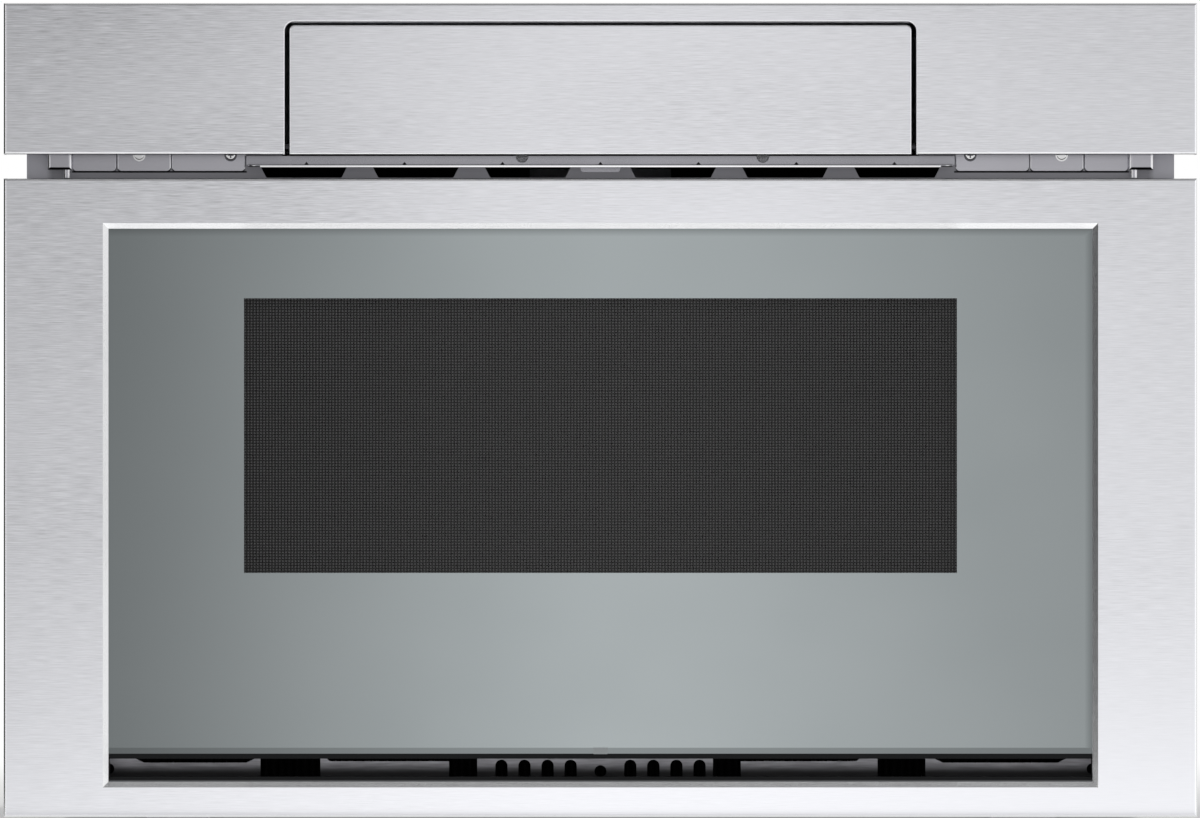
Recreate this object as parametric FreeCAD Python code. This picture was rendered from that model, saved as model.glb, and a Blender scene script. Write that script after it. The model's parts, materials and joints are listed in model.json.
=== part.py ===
# Built-in microwave drawer, 30-inch class. Millimetres; +X to the viewer's right, the front faces -Y,
# +Z up. The origin is at the middle of the depth, on the floor that the skid rails stand on.
import FreeCAD, Part
import math
import os

V = FreeCAD.Vector
os.makedirs("parts", exist_ok=True)

# ---------------------------------------------------------------- overall sizes
WIDTH = 758.8  # fascia and drawer front
DEPTH = 594.0  # front face to the end of the cord gland
SHEET = 1.2  # front and bracket sheet metal
CASE_SHEET = 0.7  # pan, wrapper and rear panel
EPS = 1e-5
FOLD_R = 1.8  # outside radius of the folded front edges
OPENING_EDGE_R = 1.0  # folded edge of the flap and of its opening
TOUCH = 0.3  # gap of a seat that stays just clear
RUNNING = 0.05  # radial clearance of a shaft in its bore

# ---------------------------------------------------------------- front, bottom to top
FRONT_LIFT = 2.0  # drawer front above the floor
DOOR_HEIGHT = 406.0
SHADOW_GAP = 15.3  # open strip between the drawer front and the fascia
FASCIA_HEIGHT = 96.2
FRONT_THICK = 28.0  # depth of the drawer front and of the fascia
FRONT_GAP = 2.0  # drawer front to front plate
PLATE_THICK = 1.5
PLATE_INSET = 14.0  # front plate's edge behind the drawer front's edge
PLATE_FOOT = 8.0  # front plate's lower edge
FLANGE_WIDTH = 20.4  # what the front plate overlaps the cabinet face each side
OVERHANG_TOP = 11.5  # fascia above the case
HEM_SETBACK = 3.0  # front plate's side hem beyond the case, clear of the screw heads

# ---------------------------------------------------------------- case
PAN_LIFT = 4.0  # base pan's sheet above the floor
SKID_WIDTH = 40.0
SKID_INSET = 75.0  # skid rail's centre from the side of the case
SKID_END_GAP = 22.0  # skid rail's end to the front and rear of the pan
GLAND_REACH = 6.0  # how far the cord gland stands out of the rear panel
GLAND_FLANGE_R = 12.0
GLAND_SHANK_R = 8.6
GLAND_SHANK_LENGTH = 8.0
GLAND_BORE_R = 4.2
GLAND_SIDE_INSET = 95.0
GLAND_HEIGHT = 125.0
VENT_SLOT_WIDTH = 46.0
VENT_SLOT_HEIGHT = 4.5
VENT_SLOT_PITCH = 11.0
VENT_SLOT_GAP = 9.0
REAR_VENT_ROWS = 11
REAR_VENT_COLUMNS = 3
REAR_VENT_SIDE_INSET = 60.0
REAR_VENT_HEIGHT = 170.0
SIDE_VENT_ROWS = 9
SIDE_VENT_REAR_INSET = 30.0
SIDE_VENT_HEIGHT = 60.0
CASE_SCREW_R = 4.0
CASE_SCREW_HEAD = 2.2
CASE_SCREW_INSET = 8.0
CASE_SCREWS_PER_EDGE = 4
MOUNT_HOLE_R = 2.4
MOUNT_HOLE_INSET = 7.9  # from the front plate's edge
MOUNT_HOLE_LOW = 70.0
MOUNT_HOLE_HIGH = 370.0

# ---------------------------------------------------------------- fascia and its supports
FLAP_WIDTH = 395.6
FLAP_SIDE_GAP = 2.9
FLAP_TOP_GAP = 2.2
FLAP_TOP_STRIP = 11.8  # fascia above the flap's opening
FLAP_CORNER_R = 3.5
OPENING_CORNER_R = 6.0
OPENING_RETURN = 10.0
BOTTOM_RETURN = 8.0
BLOCK_INSET = 27.7
BLOCK_WIDTH = 15.3
BLOCK_DROP = 9.6  # block below the fascia
BLOCK_RISE = 22.0  # block up behind the fascia
BLOCK_DEPTH = 16.0
BLOCK_EDGE_R = 2.0
PIN_INSET = 39.8
PIN_R = 2.15
PIN_CLEARANCE = 0.6  # pin's tip above the drawer front
PIN_DEPTH = 8.0  # pin's centre in front of the front plate
STRAP_DROP = 10.9  # mounting plates below the fascia
STRAP_RISE = 30.0
STRAP_SHARES = (0.2594, 0.312, 0.4286)  # outermost first, of the row between block and shelf
STRAP_THICK = (1.2, 3.0, 1.8)
STRAP_GAP = 0.6
STRAP_CORNER_R = 2.6
STRAP_EDGE_R = 0.8  # pressed edge of each mounting plate
STRAP_SCREW_SHARES = (0.59, 0.2)  # of the middle and the inner plate, from its inner edge
STRAP_SCREW_DROP = 0.2
STRAP_SCREW_FLANGE_R = 4.0
STRAP_SCREW_FLANGE = 1.2
STRAP_SCREW_R = 3.0
STRAP_SCREW_HEAD = 3.0
STRAP_SCREW_EDGE_R = 0.7
SCREW_RECESS_LENGTH = 3.8
SCREW_RECESS_WIDTH = 0.9
SCREW_RECESS_DEPTH = 1.6
SHELF_WIDTH = 451.0
SHELF_DROP = 6.4  # console shelf's lower edge below the fascia
SHELF_TOP_DROP = 0.8
SHELF_DEPTH = 4.0
NOTCH_WIDTH = 3.2
NOTCH_HEIGHT = 1.9
NOTCH_PITCH = 62.4
NOTCH_COUNT = 7
LIP_WIDTH = 449.0
LIP_THICK = 1.3
LIP_DEPTH = 21.0
LIP_CORNER_R = 7.0
LIP_EDGE_R = 0.6  # rolled front edge of the lip
TAB_WIDTH = 25.4
TAB_HEIGHT = 3.2
TAB_THICK = 1.0
TAB_CORNER_R = 2.0
BUMPER_R = 4.0
BUMPER_HEIGHT = 3.5
BUMPER_EDGE_R = 1.2
BUMPER_LEFT_X = -49.9
BUMPER_RIGHT_X = 103.4
BUMPER_DROP = 1.0
VENT_COUNT = 6
VENT_WIDTH = 55.8
VENT_SLANT = 4.0
VENT_CORNER_R = 1.4  # at the vent's foot
VENT_PITCH = 71.3
VENT_CENTRE_GAP = 92.6  # between the two middle vents' centres
VENT_TOP_DROP = 6.8
VENT_BOTTOM_DROP = 14.6

# ---------------------------------------------------------------- tilting console
HINGE_LIFT = 4.9  # hinge axis above the flap's lower edge
HINGE_DEPTH = 5.0  # hinge axis behind the front face
HINGE_PIN_R = 2.0
HINGE_PIN_LENGTH = 14.0
EAR_THICK = 3.0
EAR_GAP = 2.3  # opening's edge to the ear
EAR_R = 3.5
EAR_FLANGE_WIDTH = 16.0
EAR_FLANGE_HEIGHT = 24.0
EAR_FLANGE_THICK = 1.5
CONSOLE_DEPTH = 60.0  # behind the hinge axis
CONSOLE_WALL = 2.0
SWING_CLEARANCE = 1.0
GLASS_PANEL_THICK = 3.0
GLASS_PANEL_FRONT = 9.0
GLASS_PANEL_REAR = 4.0
GLASS_PANEL_SIDE = 8.0
BOARD_THICK = 1.6
BOARD_MARGIN = 14.0
BOARD_CHIP = (60.0, 12.0, 4.0)

# ---------------------------------------------------------------- drawer front
FRAME_SIDE = 63.0  # border from the outer edge to the bevel
FRAME_TOP = 28.4
FRAME_BOTTOM = 18.8
BEVEL = 3.5
GLASS_RECESS = 6.0
GLASS_THICK = 4.0
GLASS_LAP = 5.0  # glass behind the frame's edge
SLOT_SILL = 3.2  # black strip under the slot
SLOT_HEIGHT = 11.5
SLOT_HEAD = 3.2  # black strip between the slot and the glass
BEZEL_LAP = 3.0
BEZEL_END = 0.5
CLIP_WIDTH = 9.0
CLIP_HEIGHT = 4.2
CLIP_THICK = 0.8
CORE_SHEET = 1.0
CORE_SIDE = 17.0  # core beyond the frame's opening
CORE_TOP = 16.0
SCREEN_THICK = 0.7
SCREEN_LAP = 6.0
WINDOW_SIDE_MARGIN = 1.7  # window beyond the tray's side
WINDOW_LOW_MARGIN = 7.2  # window's lower edge above the tray's underside
WINDOW_HIGH_MARGIN = 4.2  # window's upper edge below the tray's rim
INNER_WINDOW_THICK = 4.0
INNER_WINDOW_STEP = 4.7
INNER_WINDOW_LAP = 6.0
REAR_SHEET = 1.0
CHOKE_GAP = 3.0
CHOKE_WIDTH = 24.0
CHOKE_THICK = 1.0
HOOK_INSET = 45.0  # from the case's side
HOOK_THICK = 3.0
HOOK_LENGTH = 26.0
HOOK_HEIGHT = 16.0
HOOK_LOW = 352.0
HOOK_BARB = 5.0
HOOK_SLOT_GAP = 3.5

# ---------------------------------------------------------------- tray and cavity
SIDE_BAY = 55.0  # case side to the rail support
REAR_BAY = 100.0  # cavity's rear to the rear panel
RAIL_THICK = 14.0
ARM_THICK = 2.5
ARM_GAP = 36.0  # cavity wall to the slide arm
TRAY_GAP = 11.0  # tray to the cavity's wall
TRAY_SHEET = 1.0
TRAY_CORNER_R = 14.0
TRAY_LIFT = 150.0
TRAY_HEIGHT = 186.0
TRAY_FLANGE = 8.0
TRAY_RIM = 5.0
TRAY_FLOOR_LEDGE = 24.0
CERAMIC_THICK = 5.0
CERAMIC_GAP = 8.0
CAVITY_SHEET = 0.7
CAVITY_UNDER = 9.0
CAVITY_OVER = 13.0
FEED_OPENING = 180.0
FEED_COVER_LAP = 8.0
FEED_COVER_THICK = 2.0
FEED_SETBACK = 245.5  # feed box's centre behind the cavity's mouth
FEED_DEPTH = 33.0
ANTENNA_R = 68.0
ANTENNA_THICK = 1.5
ANTENNA_DROP = 12.0
ANTENNA_BLADES = 6
ANTENNA_SLOT_WIDTH = 12.0
ANTENNA_SLOT_LENGTH = 34.0
ANTENNA_SLOT_R = 22.0
ANTENNA_SHAFT_R = 4.0
STIRRER_MOTOR_R = 24.5
STIRRER_MOTOR_HEIGHT = 17.0
STIRRER_EAR = 10.0
GUIDE_WIDTH = 90.0
GUIDE_HEIGHT = 30.0
GUIDE_SHEET = 1.0
SADDLE_WIDTH = 30.0
SADDLE_FRONT_Y = -200.0
SADDLE_REAR_Y = 110.0
SADDLE_SHEET = 1.5
MAGNETRON_WIDTH = 92.0
MAGNETRON_DEPTH = 80.0
MAGNETRON_FIN_COUNT = 9
MAGNETRON_FIN = 1.0
MAGNETRON_FIN_PITCH = 7.0
MAGNETRON_PLATE = 3.0
MAGNETRON_CORE_R = 20.0
MAGNETRON_BOX = 26.0
MAGNETRON_BOX_INSET = 13.0
MAGNETRON_REAR_GAP = 9.0
LAMP_SIZE = (26.0, 44.0, 34.0)
LAMP_SETBACK = 205.5  # lamp's centre behind the cavity's mouth
LAMP_LIFT = 140.0
LAMP_BULB_R = 7.0
DUCT_WIDTH = 462.0
DUCT_DEPTH = 330.0
DUCT_WALL = 1.5
DUCT_TOP_GAP = 2.0

# ---------------------------------------------------------------- slides and drive
RAIL_LOW = 225.0
RAIL_HEIGHT = 45.0
RAIL_SHEET = 1.5
RAIL_NEST = 3.0  # room for the balls between two members
RAIL_WEB_GAP = 2.0
RAIL_END_GAP = 3.5
BALL_R = 1.2
BALL_PITCH = 30.0
CAGE_THICK = 0.8
CAGE_WIDTH = 2.6
ARM_BELOW = 25.0  # arm under the rail
ARM_FLANGE = 18.0
ARM_FLANGE_THICK = 1.2
RAIL_SLOT_GAP = 2.0
SUPPORT_THICK = 1.5
SUPPORT_TOP = 300.0
SUPPORT_FOOT = 15.0
SUPPORT_HOLE_R = 38.0
SUPPORT_HOLE_Z = 90.0
SUPPORT_HOLE_COUNT = 4
SUPPORT_RELIEF = 16.0  # support's web set back behind the intake grille
GEAR_MODULE = 1.5
PINION_TEETH = 16
PRESSURE_ANGLE = 20.0
GEAR_BACKLASH = 0.15
GEAR_WIDTH = 7.0
RACK_WIDTH = 8.0
RACK_BACK = 8.0
PINION_FRONT = 27.0  # pinion's axis behind the front plate
PINION_SHAFT_R = 4.0
MOTOR_WIDTH = 60.0
MOTOR_HEIGHT = 46.0
MOTOR_FRONT = 15.3  # gear case in front of the pinion's axis
MOTOR_GEARCASE = 22.0
MOTOR_CAN_R = 17.0
MOTOR_CAN_LENGTH = 26.0

# ---------------------------------------------------------------- cooling and power
FAN_INSET = 175.0  # fan's centre from the side of the case
FAN_TIP_GAP = 2.0
FAN_HUB_R = 12.0
FAN_HUB_LENGTH = 20.0
FAN_BLADES = 7
FAN_BLADE_THICK = 1.6
FAN_BLADE_CHORD = 24.0
FAN_BLADE_ROOT = 1.0  # blade's foot inside the hub
FAN_BLADE_ANGLE = 38.0
FAN_SHROUD_THICK = 2.0
FAN_SHROUD_GAP = 3.0  # shroud to the cavity's rear and to the rear panel
FAN_RING = 8.0
FAN_SHAFT_R = 3.0
FAN_MOTOR_SIZE = 52.0
FAN_MOTOR_LENGTH = 34.0
FAN_MOTOR_GAP = 6.0
AIR_GUIDE_SHEET = 1.2
AIR_GUIDE_END_GAP = 0.3
TRANSFORMER_INSET = 170.0  # centre from the side of the case
TRANSFORMER_WIDTH = 96.0
TRANSFORMER_DEPTH = 62.0
TRANSFORMER_HEIGHT = 78.0
TRANSFORMER_LEG = 16.0
TRANSFORMER_WIND_GAP = 0.4
TRANSFORMER_FLANGE = 8.0
CAPACITOR_INSET = 75.0  # centre from the side of the case
CAPACITOR_WIDTH = 54.0
CAPACITOR_DEPTH = 34.0
CAPACITOR_HEIGHT = 92.0
CAPACITOR_CORNER_R = 11.3
CAPACITOR_TERMINAL_R = 3.0
CAPACITOR_TERMINAL = 9.0
CAPACITOR_TERMINAL_PITCH = 27.0
POWER_SETBACK = 190.5  # power board's near edge behind the front plate
POWER_WIDTH = 150.0
POWER_HEIGHT = 110.0
POWER_LOW = 350.0
POWER_TRAY = 3.0
POWER_STANDOFF = 6.0
POWER_BLOCKS = ((20.0, 16.0, 22.0), (28.0, 20.0, 30.0), (18.0, 24.0, 18.0))
SWITCH_WIDTH = 10.0
SWITCH_DEPTH = 20.0
SWITCH_HEIGHT = 28.0
SWITCH_BRACKET = 1.5
SWITCH_BRACKET_DEPTH = 30.0

# ---------------------------------------------------------------- intake grille
GRILLE_SIDE = 20.0  # grille beyond the drawer front's opening
GRILLE_TOP = 72.0
GRILLE_LAP = 12.0
GRILLE_SLOT_FOOT = 14.0
GRILLE_SLOT_HEAD = 58.0
ARCH_FIRST_X = 19.0
ARCH_PITCH = 14.7
ARCH_COUNT = 4
ARCH_R = 3.9
ARCH_TOP = 38.0
CENTRE_HOLE_R = 3.8
CENTRE_HOLE_Z = 30.7
END_HOLE_R = 3.2
END_HOLE_Z = 32.3
GRILLE_LEFT_INNER_GAP = (78.5, 18.0)  # start and width, from the middle outwards
GRILLE_RIGHT_INNER_GAP = (71.6, 17.8)
GRILLE_LEFT_OUTER_GAP = (134.5, 38.2)  # start, inward from the slot's end, and width
GRILLE_RIGHT_OUTER_GAP = (136.4, 30.5)
GRILLE_LEFT_FLARE = 4.0  # where the low plate rises again at its outer end
GRILLE_RIGHT_FLARE = 11.5
GRILLE_FLARE_R = 3.0
GRILLE_MID_TOP = 37.0
GRILLE_OUTER_TOP = 36.1
GRILLE_LEFT_NOTCH = (93.2, 77.0)  # start, inward from the slot's end, and width
GRILLE_RIGHT_NOTCH = (100.8, 85.2)
GRILLE_NOTCH_SLANT = 6.0

# ---------------------------------------------------------------- derived places
front_y = -DEPTH / 2
door_rear_y = front_y + FRONT_THICK
plate_y = door_rear_y + FRONT_GAP
cabinet_y = plate_y + PLATE_THICK
case_rear_y = DEPTH / 2 - GLAND_REACH
half_width = WIDTH / 2
plate_half = half_width - PLATE_INSET
case_half = plate_half - FLANGE_WIDTH
door_low = FRONT_LIFT
door_high = FRONT_LIFT + DOOR_HEIGHT
fascia_low = door_high + SHADOW_GAP
fascia_high = fascia_low + FASCIA_HEIGHT
case_high = fascia_high - OVERHANG_TOP
pan_top = PAN_LIFT + CASE_SHEET
case_inner_y = case_rear_y - CASE_SHEET  # inside of the rear panel
hem_y = cabinet_y + PLATE_THICK  # what the kitchen cabinet's front edge touches

support_x = case_half - SIDE_BAY - SUPPORT_THICK
arm_x = support_x - RAIL_THICK - ARM_THICK
cavity_half = arm_x - ARM_GAP  # inside of the cavity's side wall
tray_half = cavity_half - TRAY_GAP
cavity_rear_y = case_rear_y - REAR_BAY
tray_rear_y = cavity_rear_y - CAVITY_SHEET - TRAY_GAP
tray_low = TRAY_LIFT
tray_high = TRAY_LIFT + TRAY_HEIGHT
cavity_low = tray_low - CAVITY_UNDER
cavity_high = tray_high + CAVITY_OVER
rear_sheet_y = door_rear_y - REAR_SHEET - TOUCH

opening_half = half_width - FRAME_SIDE
opening_low = door_low + FRAME_BOTTOM
opening_high = door_high - FRAME_TOP
inner_half = opening_half - BEVEL
inner_low = opening_low + BEVEL
inner_high = opening_high - BEVEL
slot_low = inner_low + SLOT_SILL
slot_high = slot_low + SLOT_HEIGHT
glass_low = slot_high + SLOT_HEAD
glass_y = front_y + GLASS_RECESS
core_y = glass_y + GLASS_THICK
window_half = tray_half + WINDOW_SIDE_MARGIN
window_low = tray_low + WINDOW_LOW_MARGIN
window_high = tray_high - WINDOW_HIGH_MARGIN

flap_half = FLAP_WIDTH / 2
flap_opening_half = flap_half + FLAP_SIDE_GAP
flap_opening_high = fascia_high - FLAP_TOP_STRIP
flap_high = flap_opening_high - FLAP_TOP_GAP
hinge_y = front_y + HINGE_DEPTH
hinge_z = fascia_low + HINGE_LIFT
swing_r = flap_opening_high - hinge_z - SWING_CLEARANCE
console_rear_y = hinge_y + CONSOLE_DEPTH
console_rear_z = hinge_z + math.sqrt(swing_r**2 - CONSOLE_DEPTH**2)
shelf_low = fascia_low - SHELF_DROP
shelf_high = fascia_low - SHELF_TOP_DROP
shelf_half = SHELF_WIDTH / 2
hook_x = case_half - HOOK_INSET
transformer_x = case_half - TRANSFORMER_INSET
capacitor_x = case_half - CAPACITOR_INSET
feed_y = cabinet_y + FEED_SETBACK
lamp_y = cabinet_y + LAMP_SETBACK


# ---------------------------------------------------------------- helpers
def block(x, y, z):
    """A box from three (low, high) pairs."""
    return Part.makeBox(x[1] - x[0], y[1] - y[0], z[1] - z[0], V(x[0], y[0], z[0]))


def span(centre, length):
    return (centre - length / 2, centre + length / 2)


def rod_x(x, y, z, radius):
    return Part.makeCylinder(radius, x[1] - x[0], V(x[0], y, z), V(1, 0, 0))


def rod_y(x, y, z, radius):
    return Part.makeCylinder(radius, y[1] - y[0], V(x, y[0], z), V(0, 1, 0))


def rod_z(x, y, z, radius):
    return Part.makeCylinder(radius, z[1] - z[0], V(x, y, z[0]), V(0, 0, 1))


def prism_x(points, x):
    """A (y, z) outline extruded along X."""
    corners = [V(x[0], p[0], p[1]) for p in points]
    return Part.Face(Part.makePolygon(corners + corners[:1])).extrude(V(x[1] - x[0], 0, 0))


def prism_y(points, y):
    """An (x, z) outline extruded along Y."""
    corners = [V(p[0], y[0], p[1]) for p in points]
    return Part.Face(Part.makePolygon(corners + corners[:1])).extrude(V(0, y[1] - y[0], 0))


def frustum_y(half_a, z_a, y_a, half_b, z_b, y_b):
    """The solid between two upright rectangles at y_a and y_b."""
    wires = []
    for half, z, y in ((half_a, z_a, y_a), (half_b, z_b, y_b)):
        corners = [V(-half, y, z[0]), V(half, y, z[0]), V(half, y, z[1]), V(-half, y, z[1])]
        wires.append(Part.makePolygon(corners + corners[:1]))
    return Part.makeLoft(wires, True, True)


def joined(shapes):
    result = shapes[0]
    for shape in shapes[1:]:
        result = result.fuse(shape)
    return result.removeSplitter()


def minus(shape, tools):
    for tool in tools:
        shape = shape.cut(tool)
    return shape


def mirrored(shape):
    return shape.mirror(V(0, 0, 0), V(1, 0, 0))


def both_sides(shapes):
    """The shapes, drawn at +X, and their mirror images."""
    return list(shapes) + [mirrored(shape) for shape in shapes]


def edges_where(shape, test):
    return [edge for edge in shape.Edges if test(edge.BoundBox)]


def round_upright_corners(shape, radius, z_wanted=None):
    """Fillet the edges that run along Y, all or only those at one height."""

    def wanted(bound):
        along_y = bound.XLength + bound.ZLength < EPS
        return along_y and (z_wanted is None or abs(bound.ZMin - z_wanted) < EPS)

    return shape.makeFillet(radius, edges_where(shape, wanted))


def round_front_edges(shape, y, radius):
    def wanted(bound):
        return bound.YLength < EPS and abs(bound.YMin - y) < EPS

    return shape.makeFillet(radius, edges_where(shape, wanted))


def save(name, solids):
    shape = solids[0] if len(solids) == 1 else Part.makeCompound(solids)
    shape.exportStep("parts/" + name + ".step")
    volume = sum(solid.Volume for solid in shape.Solids)
    print(name, len(shape.Solids), "solids", round(volume), "mm3", "valid" if shape.isValid() else "BROKEN")


# ---------------------------------------------------------------- case
def base_pan():
    """Flat pan with two pressed skid rails, whose soles are the floor contact."""
    pan_half = case_half - CASE_SHEET
    y = (cabinet_y, case_rear_y - CASE_SHEET)
    pan = block((-pan_half, pan_half), y, (PAN_LIFT, pan_top))
    skid_x = span(case_half - SKID_INSET, SKID_WIDTH)
    skid_y = (y[0] + SKID_END_GAP, y[1] - SKID_END_GAP)
    skids = both_sides([block(skid_x, skid_y, (0, pan_top))])
    inner_x = (skid_x[0] + CASE_SHEET, skid_x[1] - CASE_SHEET)
    inner_y = (skid_y[0] + CASE_SHEET, skid_y[1] - CASE_SHEET)
    hollows = both_sides([block(inner_x, inner_y, (CASE_SHEET, pan_top))])
    save("base_pan", [minus(joined([pan] + skids), hollows)])


def outer_wrapper():
    """Left side, top and right side folded from one sheet, with louvre slots in both sides."""
    y = (cabinet_y, case_rear_y)
    outside = block((-case_half, case_half), y, (PAN_LIFT, case_high))
    inside_half = case_half - CASE_SHEET
    inside = block((-inside_half, inside_half), y, (PAN_LIFT, case_high - CASE_SHEET))
    slots = []
    slot_y = (y[1] - SIDE_VENT_REAR_INSET - VENT_SLOT_WIDTH, y[1] - SIDE_VENT_REAR_INSET)
    for row in range(SIDE_VENT_ROWS):
        low = SIDE_VENT_HEIGHT + row * VENT_SLOT_PITCH
        slots.append(block((-case_half, case_half), slot_y, (low, low + VENT_SLOT_HEIGHT)))
    save("outer_wrapper", [minus(outside, [inside] + slots)])


def rear_panel():
    half = case_half - CASE_SHEET
    y = (case_rear_y - CASE_SHEET, case_rear_y)
    panel = block((-half, half), y, (PAN_LIFT, case_high - CASE_SHEET))
    holes = [rod_y(half - GLAND_SIDE_INSET, y, GLAND_HEIGHT, GLAND_SHANK_R + RUNNING)]
    for row in range(REAR_VENT_ROWS):
        low = REAR_VENT_HEIGHT + row * VENT_SLOT_PITCH
        for column in range(REAR_VENT_COLUMNS):
            left = -half + REAR_VENT_SIDE_INSET + column * (VENT_SLOT_WIDTH + VENT_SLOT_GAP)
            holes.append(block((left, left + VENT_SLOT_WIDTH), y, (low, low + VENT_SLOT_HEIGHT)))
    save("rear_panel", [minus(panel, holes)])


def cord_gland():
    """Flanged strain relief in the rear panel, with the bore that the supply cord leaves by."""
    x = case_half - CASE_SHEET - GLAND_SIDE_INSET
    outer = rod_y(x, (case_rear_y, case_rear_y + GLAND_REACH), GLAND_HEIGHT, GLAND_FLANGE_R)
    shank_start = case_rear_y - CASE_SHEET - GLAND_SHANK_LENGTH
    shank = rod_y(x, (shank_start, case_rear_y), GLAND_HEIGHT, GLAND_SHANK_R)
    bore = rod_y(x, (shank_start, case_rear_y + GLAND_REACH), GLAND_HEIGHT, GLAND_BORE_R)
    save("cord_gland", [joined([outer, shank]).cut(bore)])


def case_screws():
    """Pan-head screws that hold the wrapper to the pan and the rear panel."""
    heads = []
    y_start = cabinet_y + CASE_SCREW_INSET * 2
    y_step = (case_rear_y - CASE_SCREW_INSET * 2 - y_start) / (CASE_SCREWS_PER_EDGE - 1)
    z = PAN_LIFT + CASE_SCREW_INSET
    for index in range(CASE_SCREWS_PER_EDGE):
        y = y_start + index * y_step
        heads.append(rod_x((case_half, case_half + CASE_SCREW_HEAD), y, z, CASE_SCREW_R))
    screws = both_sides(heads)
    x_start = -case_half + CASE_SCREW_INSET * 2
    x_step = (2 * case_half - CASE_SCREW_INSET * 4) / (CASE_SCREWS_PER_EDGE - 1)
    for index in range(CASE_SCREWS_PER_EDGE):
        x = x_start + index * x_step
        for height in (z, case_high - CASE_SHEET - CASE_SCREW_INSET):
            screws.append(rod_y(x, (case_rear_y, case_rear_y + CASE_SCREW_HEAD), height, CASE_SCREW_R))
    save("case_screws", screws)


def vent_outline(centre):
    """Trapezoid exhaust opening, narrower at its foot."""
    top = fascia_low - VENT_TOP_DROP
    foot = fascia_low - VENT_BOTTOM_DROP
    half = VENT_WIDTH / 2
    foot_half = half - VENT_SLANT
    return [
        (centre - half, top),
        (centre + half, top),
        (centre + foot_half, foot),
        (centre - foot_half, foot),
    ]


def slot_span_x():
    """The front plate's slot for the slide arm, the rail members and the rack."""
    return (arm_x - RACK_WIDTH - RAIL_SLOT_GAP, support_x)


def front_plate():
    """Chassis front plate: cavity mouth, slide slots, vents, console notch and hemmed side flanges."""
    y = (plate_y, cabinet_y)
    z = (PLATE_FOOT, case_high)
    hems = both_sides([block((case_half + HEM_SETBACK, plate_half), (plate_y, hem_y), z)])
    plate = joined([block((-plate_half, plate_half), y, z)] + hems)
    mouth = block((-cavity_half, cavity_half), y, (cavity_low, cavity_high))
    notch_half = flap_opening_half + EAR_GAP
    console_notch = block((-notch_half, notch_half), y, (shelf_high, case_high))
    intake_half = inner_half + GRILLE_SIDE - GRILLE_LAP
    intake = block((-intake_half, intake_half), y, (PLATE_FOOT, GRILLE_TOP - GRILLE_LAP))
    rail_low = RAIL_LOW - ARM_BELOW - RACK_BACK
    slots = [block(slot_span_x(), y, (rail_low, RAIL_LOW + RAIL_HEIGHT + RAIL_SLOT_GAP))]
    hook_z = (HOOK_LOW - HOOK_BARB - HOOK_SLOT_GAP, HOOK_LOW + HOOK_HEIGHT + HOOK_SLOT_GAP)
    slots.append(block(span(hook_x, HOOK_THICK + 2 * HOOK_SLOT_GAP), y, hook_z))
    mount_x = plate_half - MOUNT_HOLE_INSET
    holes = []
    for height in (MOUNT_HOLE_LOW, MOUNT_HOLE_HIGH):
        holes.append(rod_y(mount_x, (plate_y, hem_y), height, MOUNT_HOLE_R))
    vents = []
    for index in range(VENT_COUNT // 2):
        centre = VENT_CENTRE_GAP / 2 + index * VENT_PITCH
        vent = prism_y(vent_outline(centre), y)
        vents.append(round_upright_corners(vent, VENT_CORNER_R, fascia_low - VENT_BOTTOM_DROP))
    tools = [mouth, console_notch, intake] + both_sides(slots + holes + vents)
    save("front_plate", [minus(plate, tools)])


def grille_side_holes(inner_gap, outer_gap, flare, notch):
    """Gaps, lowered top edge and notch of the grille's right-hand half."""
    y = (cabinet_y, cabinet_y + SHEET)
    inner_x = (inner_gap[0], inner_gap[0] + inner_gap[1])
    outer_start = inner_half - outer_gap[0]
    outer_x = (outer_start, outer_start + outer_gap[1])
    holes = []
    for gap in (inner_x, outer_x):
        holes.append(block(gap, y, (GRILLE_SLOT_FOOT, GRILLE_SLOT_HEAD)))
    lowered = block((inner_x[0], outer_x[0] - flare), y, (GRILLE_MID_TOP, GRILLE_SLOT_HEAD))

    def on_flare(bound):
        along_y = bound.XLength + bound.ZLength < EPS
        return along_y and abs(bound.ZMin - GRILLE_MID_TOP) < EPS and bound.XMin > inner_x[1]

    holes.append(lowered.makeFillet(GRILLE_FLARE_R, edges_where(lowered, on_flare)))
    start = inner_half - notch[0]
    end = start + notch[1]
    outline = [
        (start, GRILLE_SLOT_HEAD),
        (start, slot_high),
        (start + GRILLE_NOTCH_SLANT, GRILLE_OUTER_TOP),
        (end - GRILLE_NOTCH_SLANT, GRILLE_OUTER_TOP),
        (end, slot_high),
        (end, GRILLE_SLOT_HEAD),
    ]
    holes.append(prism_y(outline, y))
    return holes


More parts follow.
